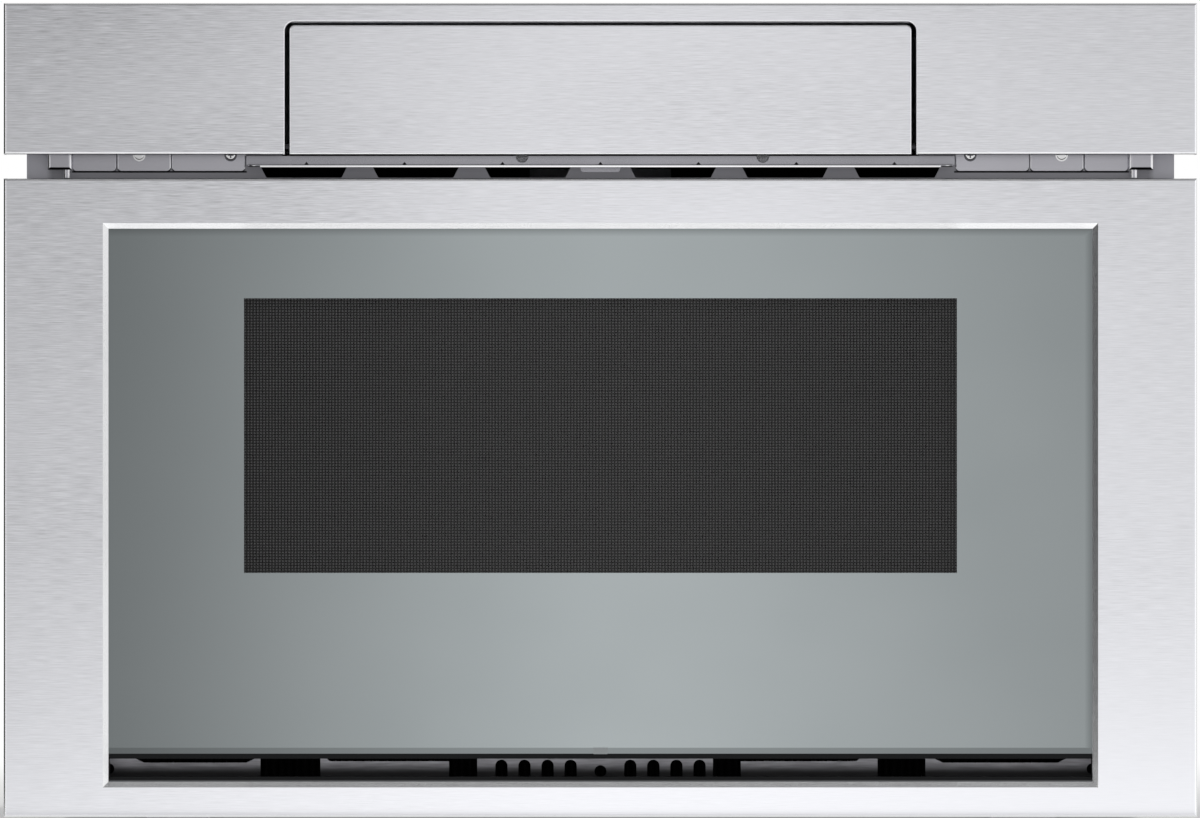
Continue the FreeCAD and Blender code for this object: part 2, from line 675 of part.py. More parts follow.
def intake_grille():
    """Stamped strip behind the slot under the glass: arches, round holes and wide gaps."""
    half = inner_half + GRILLE_SIDE
    y = (cabinet_y, cabinet_y + SHEET)
    strip = block((-half, half), y, (PLATE_FOOT, GRILLE_TOP))
    holes = []
    for index in range(ARCH_COUNT):
        x = ARCH_FIRST_X + index * ARCH_PITCH
        crown = ARCH_TOP - ARCH_R
        arch = block(span(x, 2 * ARCH_R), y, (GRILLE_SLOT_FOOT, crown))
        holes.append(arch.fuse(rod_y(x, y, crown, ARCH_R)))
    holes.append(rod_y(inner_half, y, END_HOLE_Z, END_HOLE_R))
    tools = both_sides(holes) + [rod_y(0, y, CENTRE_HOLE_Z, CENTRE_HOLE_R)]
    left_holes = grille_side_holes(
        GRILLE_LEFT_INNER_GAP,
        GRILLE_LEFT_OUTER_GAP,
        GRILLE_LEFT_FLARE,
        GRILLE_LEFT_NOTCH,
    )
    right_holes = grille_side_holes(
        GRILLE_RIGHT_INNER_GAP,
        GRILLE_RIGHT_OUTER_GAP,
        GRILLE_RIGHT_FLARE,
        GRILLE_RIGHT_NOTCH,
    )
    tools += [mirrored(hole) for hole in left_holes] + right_holes
    save("intake_grille", [minus(strip, tools)])


# ---------------------------------------------------------------- fascia and what carries it
def flap_opening(y, grow):
    """The flap's opening, grown all round, with its two rounded top corners."""
    half = flap_opening_half + grow
    high = flap_opening_high + grow
    hole = block((-half, half), y, (fascia_low, high))
    return round_upright_corners(hole, OPENING_CORNER_R + grow, high)


def fascia():
    outer = block((-half_width, half_width), (front_y, door_rear_y), (fascia_low, fascia_high))
    outer = round_front_edges(outer, front_y, FOLD_R)
    inside_half = half_width - SHEET
    pocket_z = (fascia_low + SHEET, fascia_high - SHEET)
    pocket = block((-inside_half, inside_half), (front_y + SHEET, door_rear_y), pocket_z)
    under_y = (front_y + BOTTOM_RETURN, door_rear_y)
    under = block((-inside_half, inside_half), under_y, (fascia_low, pocket_z[0]))
    shell = minus(outer, [pocket, under])
    edge_return = flap_opening((front_y, front_y + OPENING_RETURN), SHEET)
    hole = flap_opening((front_y, door_rear_y), 0)
    reach = flap_opening_half + SHEET
    relief = block((-reach, reach), (front_y + SHEET, door_rear_y), (fascia_low, hinge_z + EAR_R + SHEET))
    body = minus(shell.fuse(edge_return), [hole, relief])

    def on_opening(bound):
        on_front = bound.YLength < EPS and abs(bound.YMin - front_y) < EPS
        return on_front and max(-bound.XMin, bound.XMax) < flap_opening_half + EPS

    save("fascia", [body.makeFillet(OPENING_EDGE_R, edges_where(body, on_opening))])


def fascia_blocks():
    """Blocks that carry the fascia, each with a levelling pin under it."""
    x = (half_width - BLOCK_INSET - BLOCK_WIDTH, half_width - BLOCK_INSET)
    low = fascia_low - BLOCK_DROP
    foot = block(x, (plate_y - BLOCK_DEPTH, plate_y), (low, fascia_low + BLOCK_RISE))
    foot = round_front_edges(foot, plate_y - BLOCK_DEPTH, BLOCK_EDGE_R)
    head_z = (fascia_low + SHEET + TOUCH, fascia_low + BLOCK_RISE)
    head = block(x, (front_y + SHEET, plate_y), head_z)
    pin_z = (door_high + PIN_CLEARANCE, low + BLOCK_EDGE_R)
    pin = rod_z(half_width - PIN_INSET, plate_y - PIN_DEPTH, pin_z, PIN_R)
    save("fascia_blocks", both_sides([joined([foot, head, pin])]))


def strap_spans():
    """The three mounting plates' (left, right) edges on the right-hand side, outermost first."""
    edge = half_width - BLOCK_INSET - BLOCK_WIDTH
    row = edge - shelf_half
    spans = []
    for share in STRAP_SHARES:
        spans.append((edge - share * row + STRAP_GAP, edge))
        edge -= share * row
    return spans


def fascia_plates():
    z = (fascia_low - STRAP_DROP, fascia_low + STRAP_RISE)
    plates = []
    for x, thick in zip(strap_spans(), STRAP_THICK):
        plate = block(x, (plate_y - thick, plate_y), z)
        plate = round_upright_corners(plate, STRAP_CORNER_R, z[0])
        plates.append(round_front_edges(plate, plate_y - thick, STRAP_EDGE_R))
    save("fascia_plates", both_sides(plates))


def fascia_screws():
    """Washer-head screws with a cross recess, half hidden behind the fascia's lower edge."""
    screws = []
    z = fascia_low - STRAP_SCREW_DROP
    for edges, thick, share in zip(strap_spans()[1:], STRAP_THICK[1:], STRAP_SCREW_SHARES):
        x = edges[0] + share * (edges[1] - edges[0])
        seat = plate_y - thick
        top = seat - STRAP_SCREW_HEAD
        head = rod_y(x, (top, seat - STRAP_SCREW_FLANGE), z, STRAP_SCREW_R)
        head = round_front_edges(head, top, STRAP_SCREW_EDGE_R)
        flange = rod_y(x, (seat - STRAP_SCREW_FLANGE, seat), z, STRAP_SCREW_FLANGE_R)
        recess_y = (top, top + SCREW_RECESS_DEPTH)
        upright = block(span(x, SCREW_RECESS_WIDTH), recess_y, span(z, SCREW_RECESS_LENGTH))
        level = block(span(x, SCREW_RECESS_LENGTH), recess_y, span(z, SCREW_RECESS_WIDTH))
        screws.append(minus(joined([head, flange]), [upright, level]))
    save("fascia_screws", both_sides(screws))


def console_shelf():
    """Folded rail under the flap, with the seven little notches along its lower edge."""
    y = (plate_y - SHELF_DEPTH, plate_y)
    shell = block((-shelf_half, shelf_half), y, (shelf_low, shelf_high))
    inside_half = shelf_half - SHEET
    inside = block((-inside_half, inside_half), (y[0] + SHEET, y[1]), (shelf_low + SHEET, shelf_high - SHEET))
    notches = []
    for index in range(NOTCH_COUNT):
        x = (index - (NOTCH_COUNT - 1) / 2) * NOTCH_PITCH
        foot_half = NOTCH_WIDTH / 2
        outline = [(x - foot_half, shelf_low), (x + foot_half, shelf_low), (x, shelf_low + NOTCH_HEIGHT)]
        notches.append(prism_y(outline, y))
    save("console_shelf", [minus(shell, [inside] + notches)])


def steam_deflector():
    """The thin lip that turns the exhaust air down and forward, with its middle fixing tab."""
    half = LIP_WIDTH / 2
    y = (plate_y - LIP_DEPTH, plate_y)
    lip = block((-half, half), y, (shelf_low - LIP_THICK, shelf_low))
    corners = edges_where(lip, lambda b: b.XLength + b.YLength < EPS and abs(b.YMin - y[0]) < EPS)
    lip = lip.makeFillet(LIP_CORNER_R, corners)
    lip = lip.makeFillet(LIP_EDGE_R, edges_where(lip, lambda b: b.ZLength < EPS and b.YMax < plate_y - EPS))
    tab_z = (shelf_low - LIP_THICK - TAB_HEIGHT, shelf_low - LIP_THICK)
    tab = block(span(0, TAB_WIDTH), (plate_y - TAB_THICK, plate_y), tab_z)
    tab = round_upright_corners(tab, TAB_CORNER_R, tab_z[0])
    save("steam_deflector", [joined([lip, tab])])


def flap_bumpers():
    y = (plate_y - SHELF_DEPTH - BUMPER_HEIGHT, plate_y - SHELF_DEPTH)
    discs = []
    for x in (BUMPER_LEFT_X, BUMPER_RIGHT_X):
        disc = rod_y(x, y, fascia_low - BUMPER_DROP, BUMPER_R)
        discs.append(round_front_edges(disc, y[0], BUMPER_EDGE_R))
    save("flap_bumpers", discs)


def console_hinge_brackets():
    """Ears behind the fascia that the console's hinge pins turn in."""
    x = (flap_opening_half + EAR_GAP, flap_opening_half + EAR_GAP + EAR_THICK)
    arm = block(x, (hinge_y, plate_y), (hinge_z - EAR_R, hinge_z + EAR_R))
    tip = rod_x(x, hinge_y, hinge_z, EAR_R)
    flange_y = (plate_y - EAR_FLANGE_THICK, plate_y)
    flange_z = (hinge_z - EAR_R, hinge_z - EAR_R + EAR_FLANGE_HEIGHT)
    flange = block((x[0], x[0] + EAR_FLANGE_WIDTH), flange_y, flange_z)
    bore = rod_x(x, hinge_y, hinge_z, HINGE_PIN_R + RUNNING)
    save("console_hinge_brackets", both_sides([joined([arm, tip, flange]).cut(bore)]))


# ---------------------------------------------------------------- tilting console
def slope_point(y, below):
    """A point below the console's sloping top, at depth y; the slope runs from the flap to the rear."""
    top_y = front_y + SHEET
    top_z = flap_high - SHEET
    rise = (top_z - console_rear_z) / (console_rear_y - top_y)
    return (y, top_z - (y - top_y) * rise - below * math.sqrt(1 + rise**2))


def control_flap():
    """The stainless skin that is flush with the fascia when the console is shut."""
    skin = block((-flap_half, flap_half), (front_y, front_y + BOTTOM_RETURN), (fascia_low, flap_high))
    skin = round_upright_corners(skin, FLAP_CORNER_R, flap_high)
    skin = round_front_edges(skin, front_y, OPENING_EDGE_R)
    half = flap_half - SHEET
    pocket_z = (fascia_low + SHEET, flap_high - SHEET)
    pocket = block((-half, half), (front_y + SHEET, front_y + BOTTOM_RETURN), pocket_z)
    pin_hole = rod_x((-flap_half, flap_half), hinge_y, hinge_z, HINGE_PIN_R + RUNNING)
    save("control_flap", [minus(skin, [pocket, pin_hole])])


def console_housing():
    """Wedge-shaped housing behind the flap, open underneath for its harness."""
    top_y = front_y + SHEET
    low = fascia_low + SHEET
    half = flap_half - SHEET
    outline = [
        (top_y, low),
        (console_rear_y, low),
        slope_point(console_rear_y, GLASS_PANEL_THICK),
        slope_point(top_y, GLASS_PANEL_THICK),
    ]
    below = GLASS_PANEL_THICK + CONSOLE_WALL
    hollow = [
        (top_y + CONSOLE_WALL, low),
        (console_rear_y - CONSOLE_WALL, low),
        slope_point(console_rear_y - CONSOLE_WALL, below),
        slope_point(top_y + CONSOLE_WALL, below),
    ]
    inside = half - CONSOLE_WALL
    pin_hole = rod_x((-half, half), hinge_y, hinge_z, HINGE_PIN_R + RUNNING)
    tools = [prism_x(hollow, (-inside, inside)), pin_hole]
    save("console_housing", [minus(prism_x(outline, (-half, half)), tools)])


def control_glass():
    front = front_y + GLASS_PANEL_FRONT
    rear = console_rear_y - GLASS_PANEL_REAR
    outline = [
        slope_point(front, 0),
        slope_point(rear, 0),
        slope_point(rear, GLASS_PANEL_THICK),
        slope_point(front, GLASS_PANEL_THICK),
    ]
    half = flap_half - GLASS_PANEL_SIDE
    save("control_glass", [prism_x(outline, (-half, half))])


def console_board():
    """Circuit board against the underside of the sloping wall, with its display block under it."""
    below = GLASS_PANEL_THICK + CONSOLE_WALL
    front = front_y + BOARD_MARGIN
    rear = console_rear_y - BOARD_MARGIN
    half = flap_half - BOARD_MARGIN
    outline = [
        slope_point(front, below),
        slope_point(rear, below),
        slope_point(rear, below + BOARD_THICK),
        slope_point(front, below + BOARD_THICK),
    ]
    board = prism_x(outline, (-half, half))
    middle = (front + rear) / 2
    chip_y = (middle - BOARD_CHIP[1], middle + BOARD_CHIP[1])
    chip = [
        slope_point(chip_y[0], below + BOARD_THICK),
        slope_point(chip_y[1], below + BOARD_THICK),
        slope_point(chip_y[1], below + BOARD_THICK + BOARD_CHIP[2]),
        slope_point(chip_y[0], below + BOARD_THICK + BOARD_CHIP[2]),
    ]
    save("console_board", [joined([board, prism_x(chip, span(0, BOARD_CHIP[0]))])])


def console_hinge_pins():
    end = flap_opening_half + EAR_GAP + EAR_THICK
    pin = rod_x((end - HINGE_PIN_LENGTH, end), hinge_y, hinge_z, HINGE_PIN_R)
    save("console_hinge_pins", both_sides([pin]))


# ---------------------------------------------------------------- drawer front
def drawer_front_frame():
    """Stainless frame: folded outer edges, a bevel round the opening and a return back to the glass."""
    outer = block((-half_width, half_width), (front_y, door_rear_y), (door_low, door_high))
    outer = round_front_edges(outer, front_y, FOLD_R)
    inside_half = half_width - SHEET
    pocket_z = (door_low + SHEET, door_high - SHEET)
    pocket = block((-inside_half, inside_half), (front_y + SHEET, door_rear_y), pocket_z)
    bevel_y = front_y + BEVEL
    wall = frustum_y(
        opening_half + SHEET,
        (opening_low - SHEET, opening_high + SHEET),
        front_y,
        inner_half + SHEET,
        (inner_low - SHEET, inner_high + SHEET),
        bevel_y,
    )
    wall_back = block(
        (-inner_half - SHEET, inner_half + SHEET),
        (bevel_y, glass_y),
        (inner_low - SHEET, inner_high + SHEET),
    )
    bevel_z = (opening_low, opening_high)
    hole = frustum_y(opening_half, bevel_z, front_y, inner_half, (inner_low, inner_high), bevel_y)
    hole_back = block((-inner_half, inner_half), (bevel_y, door_rear_y), (inner_low, inner_high))
    shell = outer.cut(pocket).fuse(wall).fuse(wall_back)
    save("drawer_front_frame", [minus(shell, [hole, hole_back])])


def door_glass():
    half = inner_half + GLASS_LAP
    save("door_glass", [block((-half, half), (glass_y, core_y), (glass_low, inner_high + GLASS_LAP))])


def glass_tab():
    """Small clip over the middle of the glass's lower edge."""
    z = (glass_low - TOUCH, glass_low - TOUCH + CLIP_HEIGHT)
    save("glass_tab", [block(span(0, CLIP_WIDTH), (glass_y - CLIP_THICK, glass_y), z)])


def vent_bezel():
    """Black moulding that makes the air slot and carries the glass on its upper side."""
    half = inner_half + BEZEL_LAP
    body = block((-half, half), (glass_y, rear_sheet_y), (inner_low - BEZEL_LAP, glass_low))
    hole_half = inner_half - BEZEL_END
    hole = block((-hole_half, hole_half), (glass_y, rear_sheet_y), (slot_low, slot_high))
    save("vent_bezel", [body.cut(hole)])


def window_block(y, grow):
    half = window_half + grow
    return block((-half, half), y, (window_low - grow, window_high + grow))


def door_core():
    """Steel pan behind the glass, with the window's opening."""
    half = opening_half + CORE_SIDE
    z = (glass_low + TOUCH, opening_high + CORE_TOP)
    body = block((-half, half), (core_y, rear_sheet_y), z)
    inside_half = half - CORE_SHEET
    inside_y = (core_y + CORE_SHEET, rear_sheet_y)
    inside = block((-inside_half, inside_half), inside_y, (z[0] + CORE_SHEET, z[1] - CORE_SHEET))
    save("door_core", [minus(body, [inside, window_block((core_y, rear_sheet_y), 0)])])


def window_screen():
    y = core_y + CORE_SHEET
    save("window_screen", [window_block((y, y + SCREEN_THICK), SCREEN_LAP)])


def inner_window():
    y = (rear_sheet_y - INNER_WINDOW_THICK, rear_sheet_y)
    save("inner_window", [window_block(y, INNER_WINDOW_LAP - INNER_WINDOW_STEP)])


def door_rear_panel():
    """Sheet that closes the drawer front from behind; the tray, the arms and the choke ring sit on it."""
    half = half_width - SHEET
    y = (rear_sheet_y, door_rear_y - TOUCH)
    panel = block((-half, half), y, (door_low + SHEET, door_high - SHEET))
    slot_half = inner_half - BEZEL_END
    slot = block((-slot_half, slot_half), y, (slot_low, slot_high))
    save("door_rear_panel", [minus(panel, [window_block(y, -INNER_WINDOW_STEP), slot])])


def choke_ring():
    """Plastic cover of the microwave choke, all round the tray on the back of the drawer front."""
    y = (door_rear_y - TOUCH, door_rear_y - TOUCH + CHOKE_THICK)
    inner = cavity_half + CHOKE_GAP
    outer = inner + CHOKE_WIDTH
    z = (cavity_low - CHOKE_GAP, cavity_high + CHOKE_GAP)
    body = block((-outer, outer), y, (z[0] - CHOKE_WIDTH, z[1] + CHOKE_WIDTH))
    body = round_upright_corners(body, CHOKE_WIDTH)
    save("choke_ring", [body.cut(block((-inner, inner), y, z))])


def latch_hooks():
    """Hooks on the drawer front that work the interlock switches."""
    low = HOOK_LOW
    y = (door_rear_y - TOUCH, door_rear_y - TOUCH + HOOK_LENGTH)
    outline = [
        (y[0], low),
        (y[1] - HOOK_BARB * 2, low),
        (y[1] - HOOK_BARB * 2, low - HOOK_BARB),
        (y[1], low),
        (y[1], low + HOOK_HEIGHT / 2),
        (y[0] + HOOK_BARB, low + HOOK_HEIGHT),
        (y[0], low + HOOK_HEIGHT),
    ]
    save("latch_hooks", both_sides([prism_x(outline, span(hook_x, HOOK_THICK))]))


# ---------------------------------------------------------------- tray
def tray_shell(half, y, z, radius):
    """A block with its two rear corners rounded."""
    body = block((-half, half), y, z)
    corners = edges_where(body, lambda b: b.XLength + b.YLength < EPS and b.YMin > (y[0] + y[1]) / 2)
    return body.makeFillet(radius, corners)


def drawer_tray():
    """Open-topped tray: sides, rear and a floor ledge that holds the ceramic plate."""
    front = door_rear_y - TOUCH
    outer = tray_shell(tray_half, (front, tray_rear_y), (tray_low, tray_high), TRAY_CORNER_R)
    inner_side = tray_half - TRAY_SHEET
    inner_y = (front, tray_rear_y - TRAY_SHEET)
    inner_z = (tray_low + TRAY_SHEET, tray_high)
    inner = tray_shell(inner_side, inner_y, inner_z, TRAY_CORNER_R - TRAY_SHEET)
    floor_half = tray_half - TRAY_FLOOR_LEDGE
    floor_y = (front + TRAY_FLOOR_LEDGE, tray_rear_y - TRAY_FLOOR_LEDGE)
    floor_hole = block((-floor_half, floor_half), floor_y, (tray_low, inner_z[0]))
    rim_z = (tray_high - TRAY_SHEET, tray_high)
    rim_y = (front, tray_rear_y + TRAY_RIM)
    rim = tray_shell(tray_half + TRAY_RIM, rim_y, rim_z, TRAY_CORNER_R + TRAY_RIM)
    flange_half = tray_half + TRAY_FLANGE
    flange = block((-flange_half, flange_half), (front, front + TRAY_SHEET), (tray_low, tray_high))
    shell = joined([outer, rim, flange])
    save("drawer_tray", [minus(shell, [inner, floor_hole])])


def ceramic_floor():
    half = tray_half - TRAY_SHEET - CERAMIC_GAP
    y = (door_rear_y - TOUCH + CERAMIC_GAP, tray_rear_y - TRAY_SHEET - CERAMIC_GAP)
    low = tray_low + TRAY_SHEET
    save("ceramic_floor", [tray_shell(half, y, (low, low + CERAMIC_THICK), TRAY_CORNER_R)])


# ---------------------------------------------------------------- cavity and microwave feed
def cavity_shell():
    outer_half = cavity_half + CAVITY_SHEET
    outer_z = (cavity_low - CAVITY_SHEET, cavity_high + CAVITY_SHEET)
    body = block((-outer_half, outer_half), (cabinet_y, cavity_rear_y), outer_z)
    inside_y = (cabinet_y, cavity_rear_y - CAVITY_SHEET)
    inside = block((-cavity_half, cavity_half), inside_y, (cavity_low, cavity_high))
    feed = block(span(0, FEED_OPENING), span(feed_y, FEED_OPENING), (outer_z[0], cavity_low))
    lamp_z = cavity_low + LAMP_LIFT + LAMP_SIZE[2] / 2
    lamp_hole = rod_x((-outer_half, -cavity_half), lamp_y, lamp_z, LAMP_BULB_R)
    save("cavity_shell", [minus(body, [inside, feed, lamp_hole])])


def feed_cover():
    side = FEED_OPENING + 2 * FEED_COVER_LAP
    z = (cavity_low, cavity_low + FEED_COVER_THICK)
    save("feed_cover", [block(span(0, side), span(feed_y, side), z)])


def feed_high():
    return cavity_low - CAVITY_SHEET


def feed_box():
    """Open-topped box under the cavity in which the antenna turns."""
    low = feed_high() - FEED_DEPTH
    side = FEED_OPENING
    body = block(span(0, side), span(feed_y, side), (low, feed_high()))
    hollow_side = side - 2 * GUIDE_SHEET
    hollow = block(span(0, hollow_side), span(feed_y, hollow_side), (low + GUIDE_SHEET, feed_high()))
    rear = feed_y + side / 2
    mouth_half = GUIDE_WIDTH / 2 - GUIDE_SHEET
    mouth_z = (low + GUIDE_SHEET, low + GUIDE_HEIGHT - GUIDE_SHEET)
    mouth = block((-mouth_half, mouth_half), (rear - GUIDE_SHEET, rear), mouth_z)
    bore = rod_z(0, feed_y, (low, low + GUIDE_SHEET), ANTENNA_SHAFT_R + RUNNING)
    save("feed_box", [minus(body, [hollow, mouth, bore])])


def waveguide():
    """Rectangular duct from the feed box back to the magnetron, open upward at the magnetron."""
    low = feed_high() - FEED_DEPTH
    start = feed_y + FEED_OPENING / 2
    end = case_inner_y - MAGNETRON_REAR_GAP
    body = block(span(0, GUIDE_WIDTH), (start, end), (low, low + GUIDE_HEIGHT))
    inner_width = GUIDE_WIDTH - 2 * GUIDE_SHEET
    inner_z = (low + GUIDE_SHEET, low + GUIDE_HEIGHT - GUIDE_SHEET)
    hollow = block(span(0, inner_width), (start, end - GUIDE_SHEET), inner_z)
    launch_y = end - MAGNETRON_DEPTH / 2
    launch = rod_z(0, launch_y, (inner_z[1], low + GUIDE_HEIGHT), MAGNETRON_CORE_R / 2)
    save("waveguide", [minus(body, [hollow, launch])])


def magnetron_low():
    return feed_high() - FEED_DEPTH + GUIDE_HEIGHT


def magnetron():
    """Two yoke plates, a stack of cooling fins on the anode block, and the filter box on top."""
    low = magnetron_low()
    end = case_inner_y - MAGNETRON_REAR_GAP
    y = (end - MAGNETRON_DEPTH, end)
    x = span(0, MAGNETRON_WIDTH)
    stack = MAGNETRON_FIN_PITCH * (MAGNETRON_FIN_COUNT + 1)
    top = low + 2 * MAGNETRON_PLATE + stack
    pieces = [block(x, y, (low, low + MAGNETRON_PLATE)), block(x, y, (top - MAGNETRON_PLATE, top))]
    middle_y = (y[0] + y[1]) / 2
    pieces.append(rod_z(0, middle_y, (low, top), MAGNETRON_CORE_R))
    for index in range(MAGNETRON_FIN_COUNT):
        fin_low = low + MAGNETRON_PLATE + MAGNETRON_FIN_PITCH * (index + 1)
        fin_y = (y[0] + MAGNETRON_PLATE, y[1] - MAGNETRON_PLATE)
        pieces.append(block(x, fin_y, (fin_low, fin_low + MAGNETRON_FIN)))
    pieces.append(block(x, (y[1] - MAGNETRON_PLATE, y[1]), (low, top)))
    pieces.append(block(x, (y[0], y[0] + MAGNETRON_PLATE), (low, top)))
    box_x = (x[0] + MAGNETRON_BOX_INSET, x[1] - MAGNETRON_BOX_INSET)
    box_y = (y[0] + MAGNETRON_BOX_INSET, y[1] - MAGNETRON_BOX_INSET)
    pieces.append(block(box_x, box_y, (top, top + MAGNETRON_BOX)))
    save("magnetron", [joined(pieces)])


def stirrer_antenna():
    """Slotted disc that spreads the microwaves, on its drive shaft."""
    low = feed_high() - FEED_DEPTH
    z = feed_high() - ANTENNA_DROP
    disc = rod_z(0, feed_y, (z, z + ANTENNA_THICK), ANTENNA_R)
    slots = []
    for index in range(ANTENNA_BLADES):
        slot_y = (ANTENNA_SLOT_R, ANTENNA_SLOT_R + ANTENNA_SLOT_LENGTH)
        slot = block(span(0, ANTENNA_SLOT_WIDTH), slot_y, (z, z + ANTENNA_THICK))
        slot.rotate(V(0, 0, 0), V(0, 0, 1), index * 360 / ANTENNA_BLADES)
        slot.translate(V(0, feed_y, 0))
        slots.append(slot)
    shaft = rod_z(0, feed_y, (low - STIRRER_MOTOR_HEIGHT / 2, z), ANTENNA_SHAFT_R)
    save("stirrer_antenna", [joined([minus(disc, slots), shaft])])


def stirrer_motor():
    high = feed_high() - FEED_DEPTH
    low = high - STIRRER_MOTOR_HEIGHT
    can = rod_z(0, feed_y, (low, high), STIRRER_MOTOR_R)
    ear_x = span(0, 2 * (STIRRER_MOTOR_R + STIRRER_EAR))
    ears = block(ear_x, span(feed_y, STIRRER_EAR), (high - SHEET, high))
    socket_z = (high - STIRRER_MOTOR_HEIGHT / 2 - TOUCH, high)
    socket = rod_z(0, feed_y, socket_z, ANTENNA_SHAFT_R + RUNNING)
    save("stirrer_motor", [joined([can, ears]).cut(socket)])


def cavity_saddles():
    """Folded channels from rail support to rail support that the cavity stands on."""
    high = feed_high()
    low = high - SADDLE_WIDTH
    beams = []
    for centre, start in ((SADDLE_FRONT_Y, -support_x), (SADDLE_REAR_Y, GUIDE_WIDTH / 2 + TOUCH)):
        y = span(centre, SADDLE_WIDTH)
        outer = block((start, support_x), y, (low, high))
        inner_y = (y[0] + SADDLE_SHEET, y[1] - SADDLE_SHEET)
        inner = block((start, support_x), inner_y, (low, high - SADDLE_SHEET))
        beams.append(outer.cut(inner))
    save("cavity_saddles", beams + [mirrored(beams[1])])


def lamp():
    """Lamp holder on the cavity's left wall, with its bulb at the wall's round window."""
    outer_x = -cavity_half - CAVITY_SHEET
    low = cavity_low + LAMP_LIFT
    body = block((outer_x - LAMP_SIZE[0], outer_x), span(lamp_y, LAMP_SIZE[1]), (low, low + LAMP_SIZE[2]))
    z = low + LAMP_SIZE[2] / 2
    hollow = rod_x((outer_x - LAMP_SIZE[0] / 2, outer_x), lamp_y, z, LAMP_BULB_R + LAMP_BULB_R / 2)
    bulb = rod_x((outer_x - LAMP_SIZE[0] / 2, outer_x - TOUCH), lamp_y, z, LAMP_BULB_R)
    save("lamp", [joined([body.cut(hollow), bulb])])


def exhaust_duct():
    """Hood over the cavity that leads the used air forward to the six vents."""
    half = DUCT_WIDTH / 2
    low = cavity_high + CAVITY_SHEET
    high = shelf_high - DUCT_TOP_GAP
    y = (cabinet_y, cabinet_y + DUCT_DEPTH)
    body = block((-half, half), y, (low, high))
    inside_half = half - DUCT_WALL
    inside = block((-inside_half, inside_half), (y[0], y[1] - DUCT_WALL), (low, high - DUCT_WALL))
    inlet = block(span(0, MAGNETRON_WIDTH), (y[1] - DUCT_WALL, y[1]), (low, high - DUCT_WALL * 2))
    save("exhaust_duct", [minus(body, [inside, inlet])])


# ---------------------------------------------------------------- slides
def rail_y():
    return (cabinet_y + RAIL_END_GAP, tray_rear_y)


def channel(x, low, high, sheet):
    """A C-section along Y whose web is at the larger x and whose lips point to smaller x."""
    body = block(x, rail_y(), (low, high))
    return body.cut(block((x[0], x[1] - sheet), rail_y(), (low + sheet, high - sheet)))


def rail_sections():
    """(x span, low, high) of the outer, middle and inner rail members on the right-hand side."""
    outer_x = (arm_x + ARM_THICK + RAIL_WEB_GAP, support_x)
    middle_x = (arm_x + ARM_THICK + RAIL_WEB_GAP, support_x - RAIL_SHEET - RAIL_WEB_GAP)
    inner_x = (arm_x + ARM_THICK, support_x - 2 * RAIL_SHEET - 2 * RAIL_WEB_GAP)
    step = RAIL_SHEET + RAIL_NEST
    low = RAIL_LOW
    high = RAIL_LOW + RAIL_HEIGHT
    return (
        (outer_x, low, high),
        (middle_x, low + step, high - step),
        (inner_x, low + 2 * step, high - 2 * step),
    )


def rail_outers():
    x, low, high = rail_sections()[0]
    save("rail_outers", both_sides([channel(x, low, high, RAIL_SHEET)]))


def rail_inners():
    """The inner members: their webs are screwed to the slide arms and their lips point outward."""
    x, low, high = rail_sections()[2]
    body = block(x, rail_y(), (low, high))
    hollow = block((x[0] + RAIL_SHEET, x[1]), rail_y(), (low + RAIL_SHEET, high - RAIL_SHEET))
    save("rail_inners", both_sides([body.cut(hollow)]))


def ball_cage(z):
    """A strip with its row of balls, lying in the room between two rail members."""
    x, low, high = rail_sections()[2]
    centre = x[0] + CAGE_WIDTH
    y = (rail_y()[0] + BALL_PITCH / 2, rail_y()[1] - BALL_PITCH / 2)
    strip = block(span(centre, CAGE_WIDTH), y, span(z, CAGE_THICK))
    balls = []
    for index in range(int((y[1] - y[0]) // BALL_PITCH)):
        ball = Part.makeSphere(BALL_R)
        ball.translate(V(centre, y[0] + (index + 1) * BALL_PITCH - BALL_PITCH / 2, z))
        balls.append(ball)
    return joined([strip] + balls)


def rail_middles():
    """Middle members, one node a side, each with its four ball cages."""
    x, low, high = rail_sections()[1]
    solids = [channel(x, low, high, RAIL_SHEET)]
    offset = RAIL_NEST / 2
    for z in (low - offset, low + RAIL_SHEET + offset, high + offset, high - RAIL_SHEET - offset):
        solids.append(ball_cage(z))
    save("rail_middle_right", solids)
    save("rail_middle_left", [mirrored(solid) for solid in solids])


def slide_arms():
    """Flanged arms from the drawer front back along the inner rail members."""
    x = (arm_x, arm_x + ARM_THICK)
    front = door_rear_y - TOUCH
    z = (RAIL_LOW - ARM_BELOW, RAIL_LOW + RAIL_HEIGHT - RAIL_SHEET - RAIL_NEST)
    arm = block(x, (front, tray_rear_y), z)
    flange = block((arm_x, arm_x + ARM_FLANGE), (front, front + ARM_FLANGE_THICK), z)
    save("slide_arms", both_sides([joined([arm, flange])]))


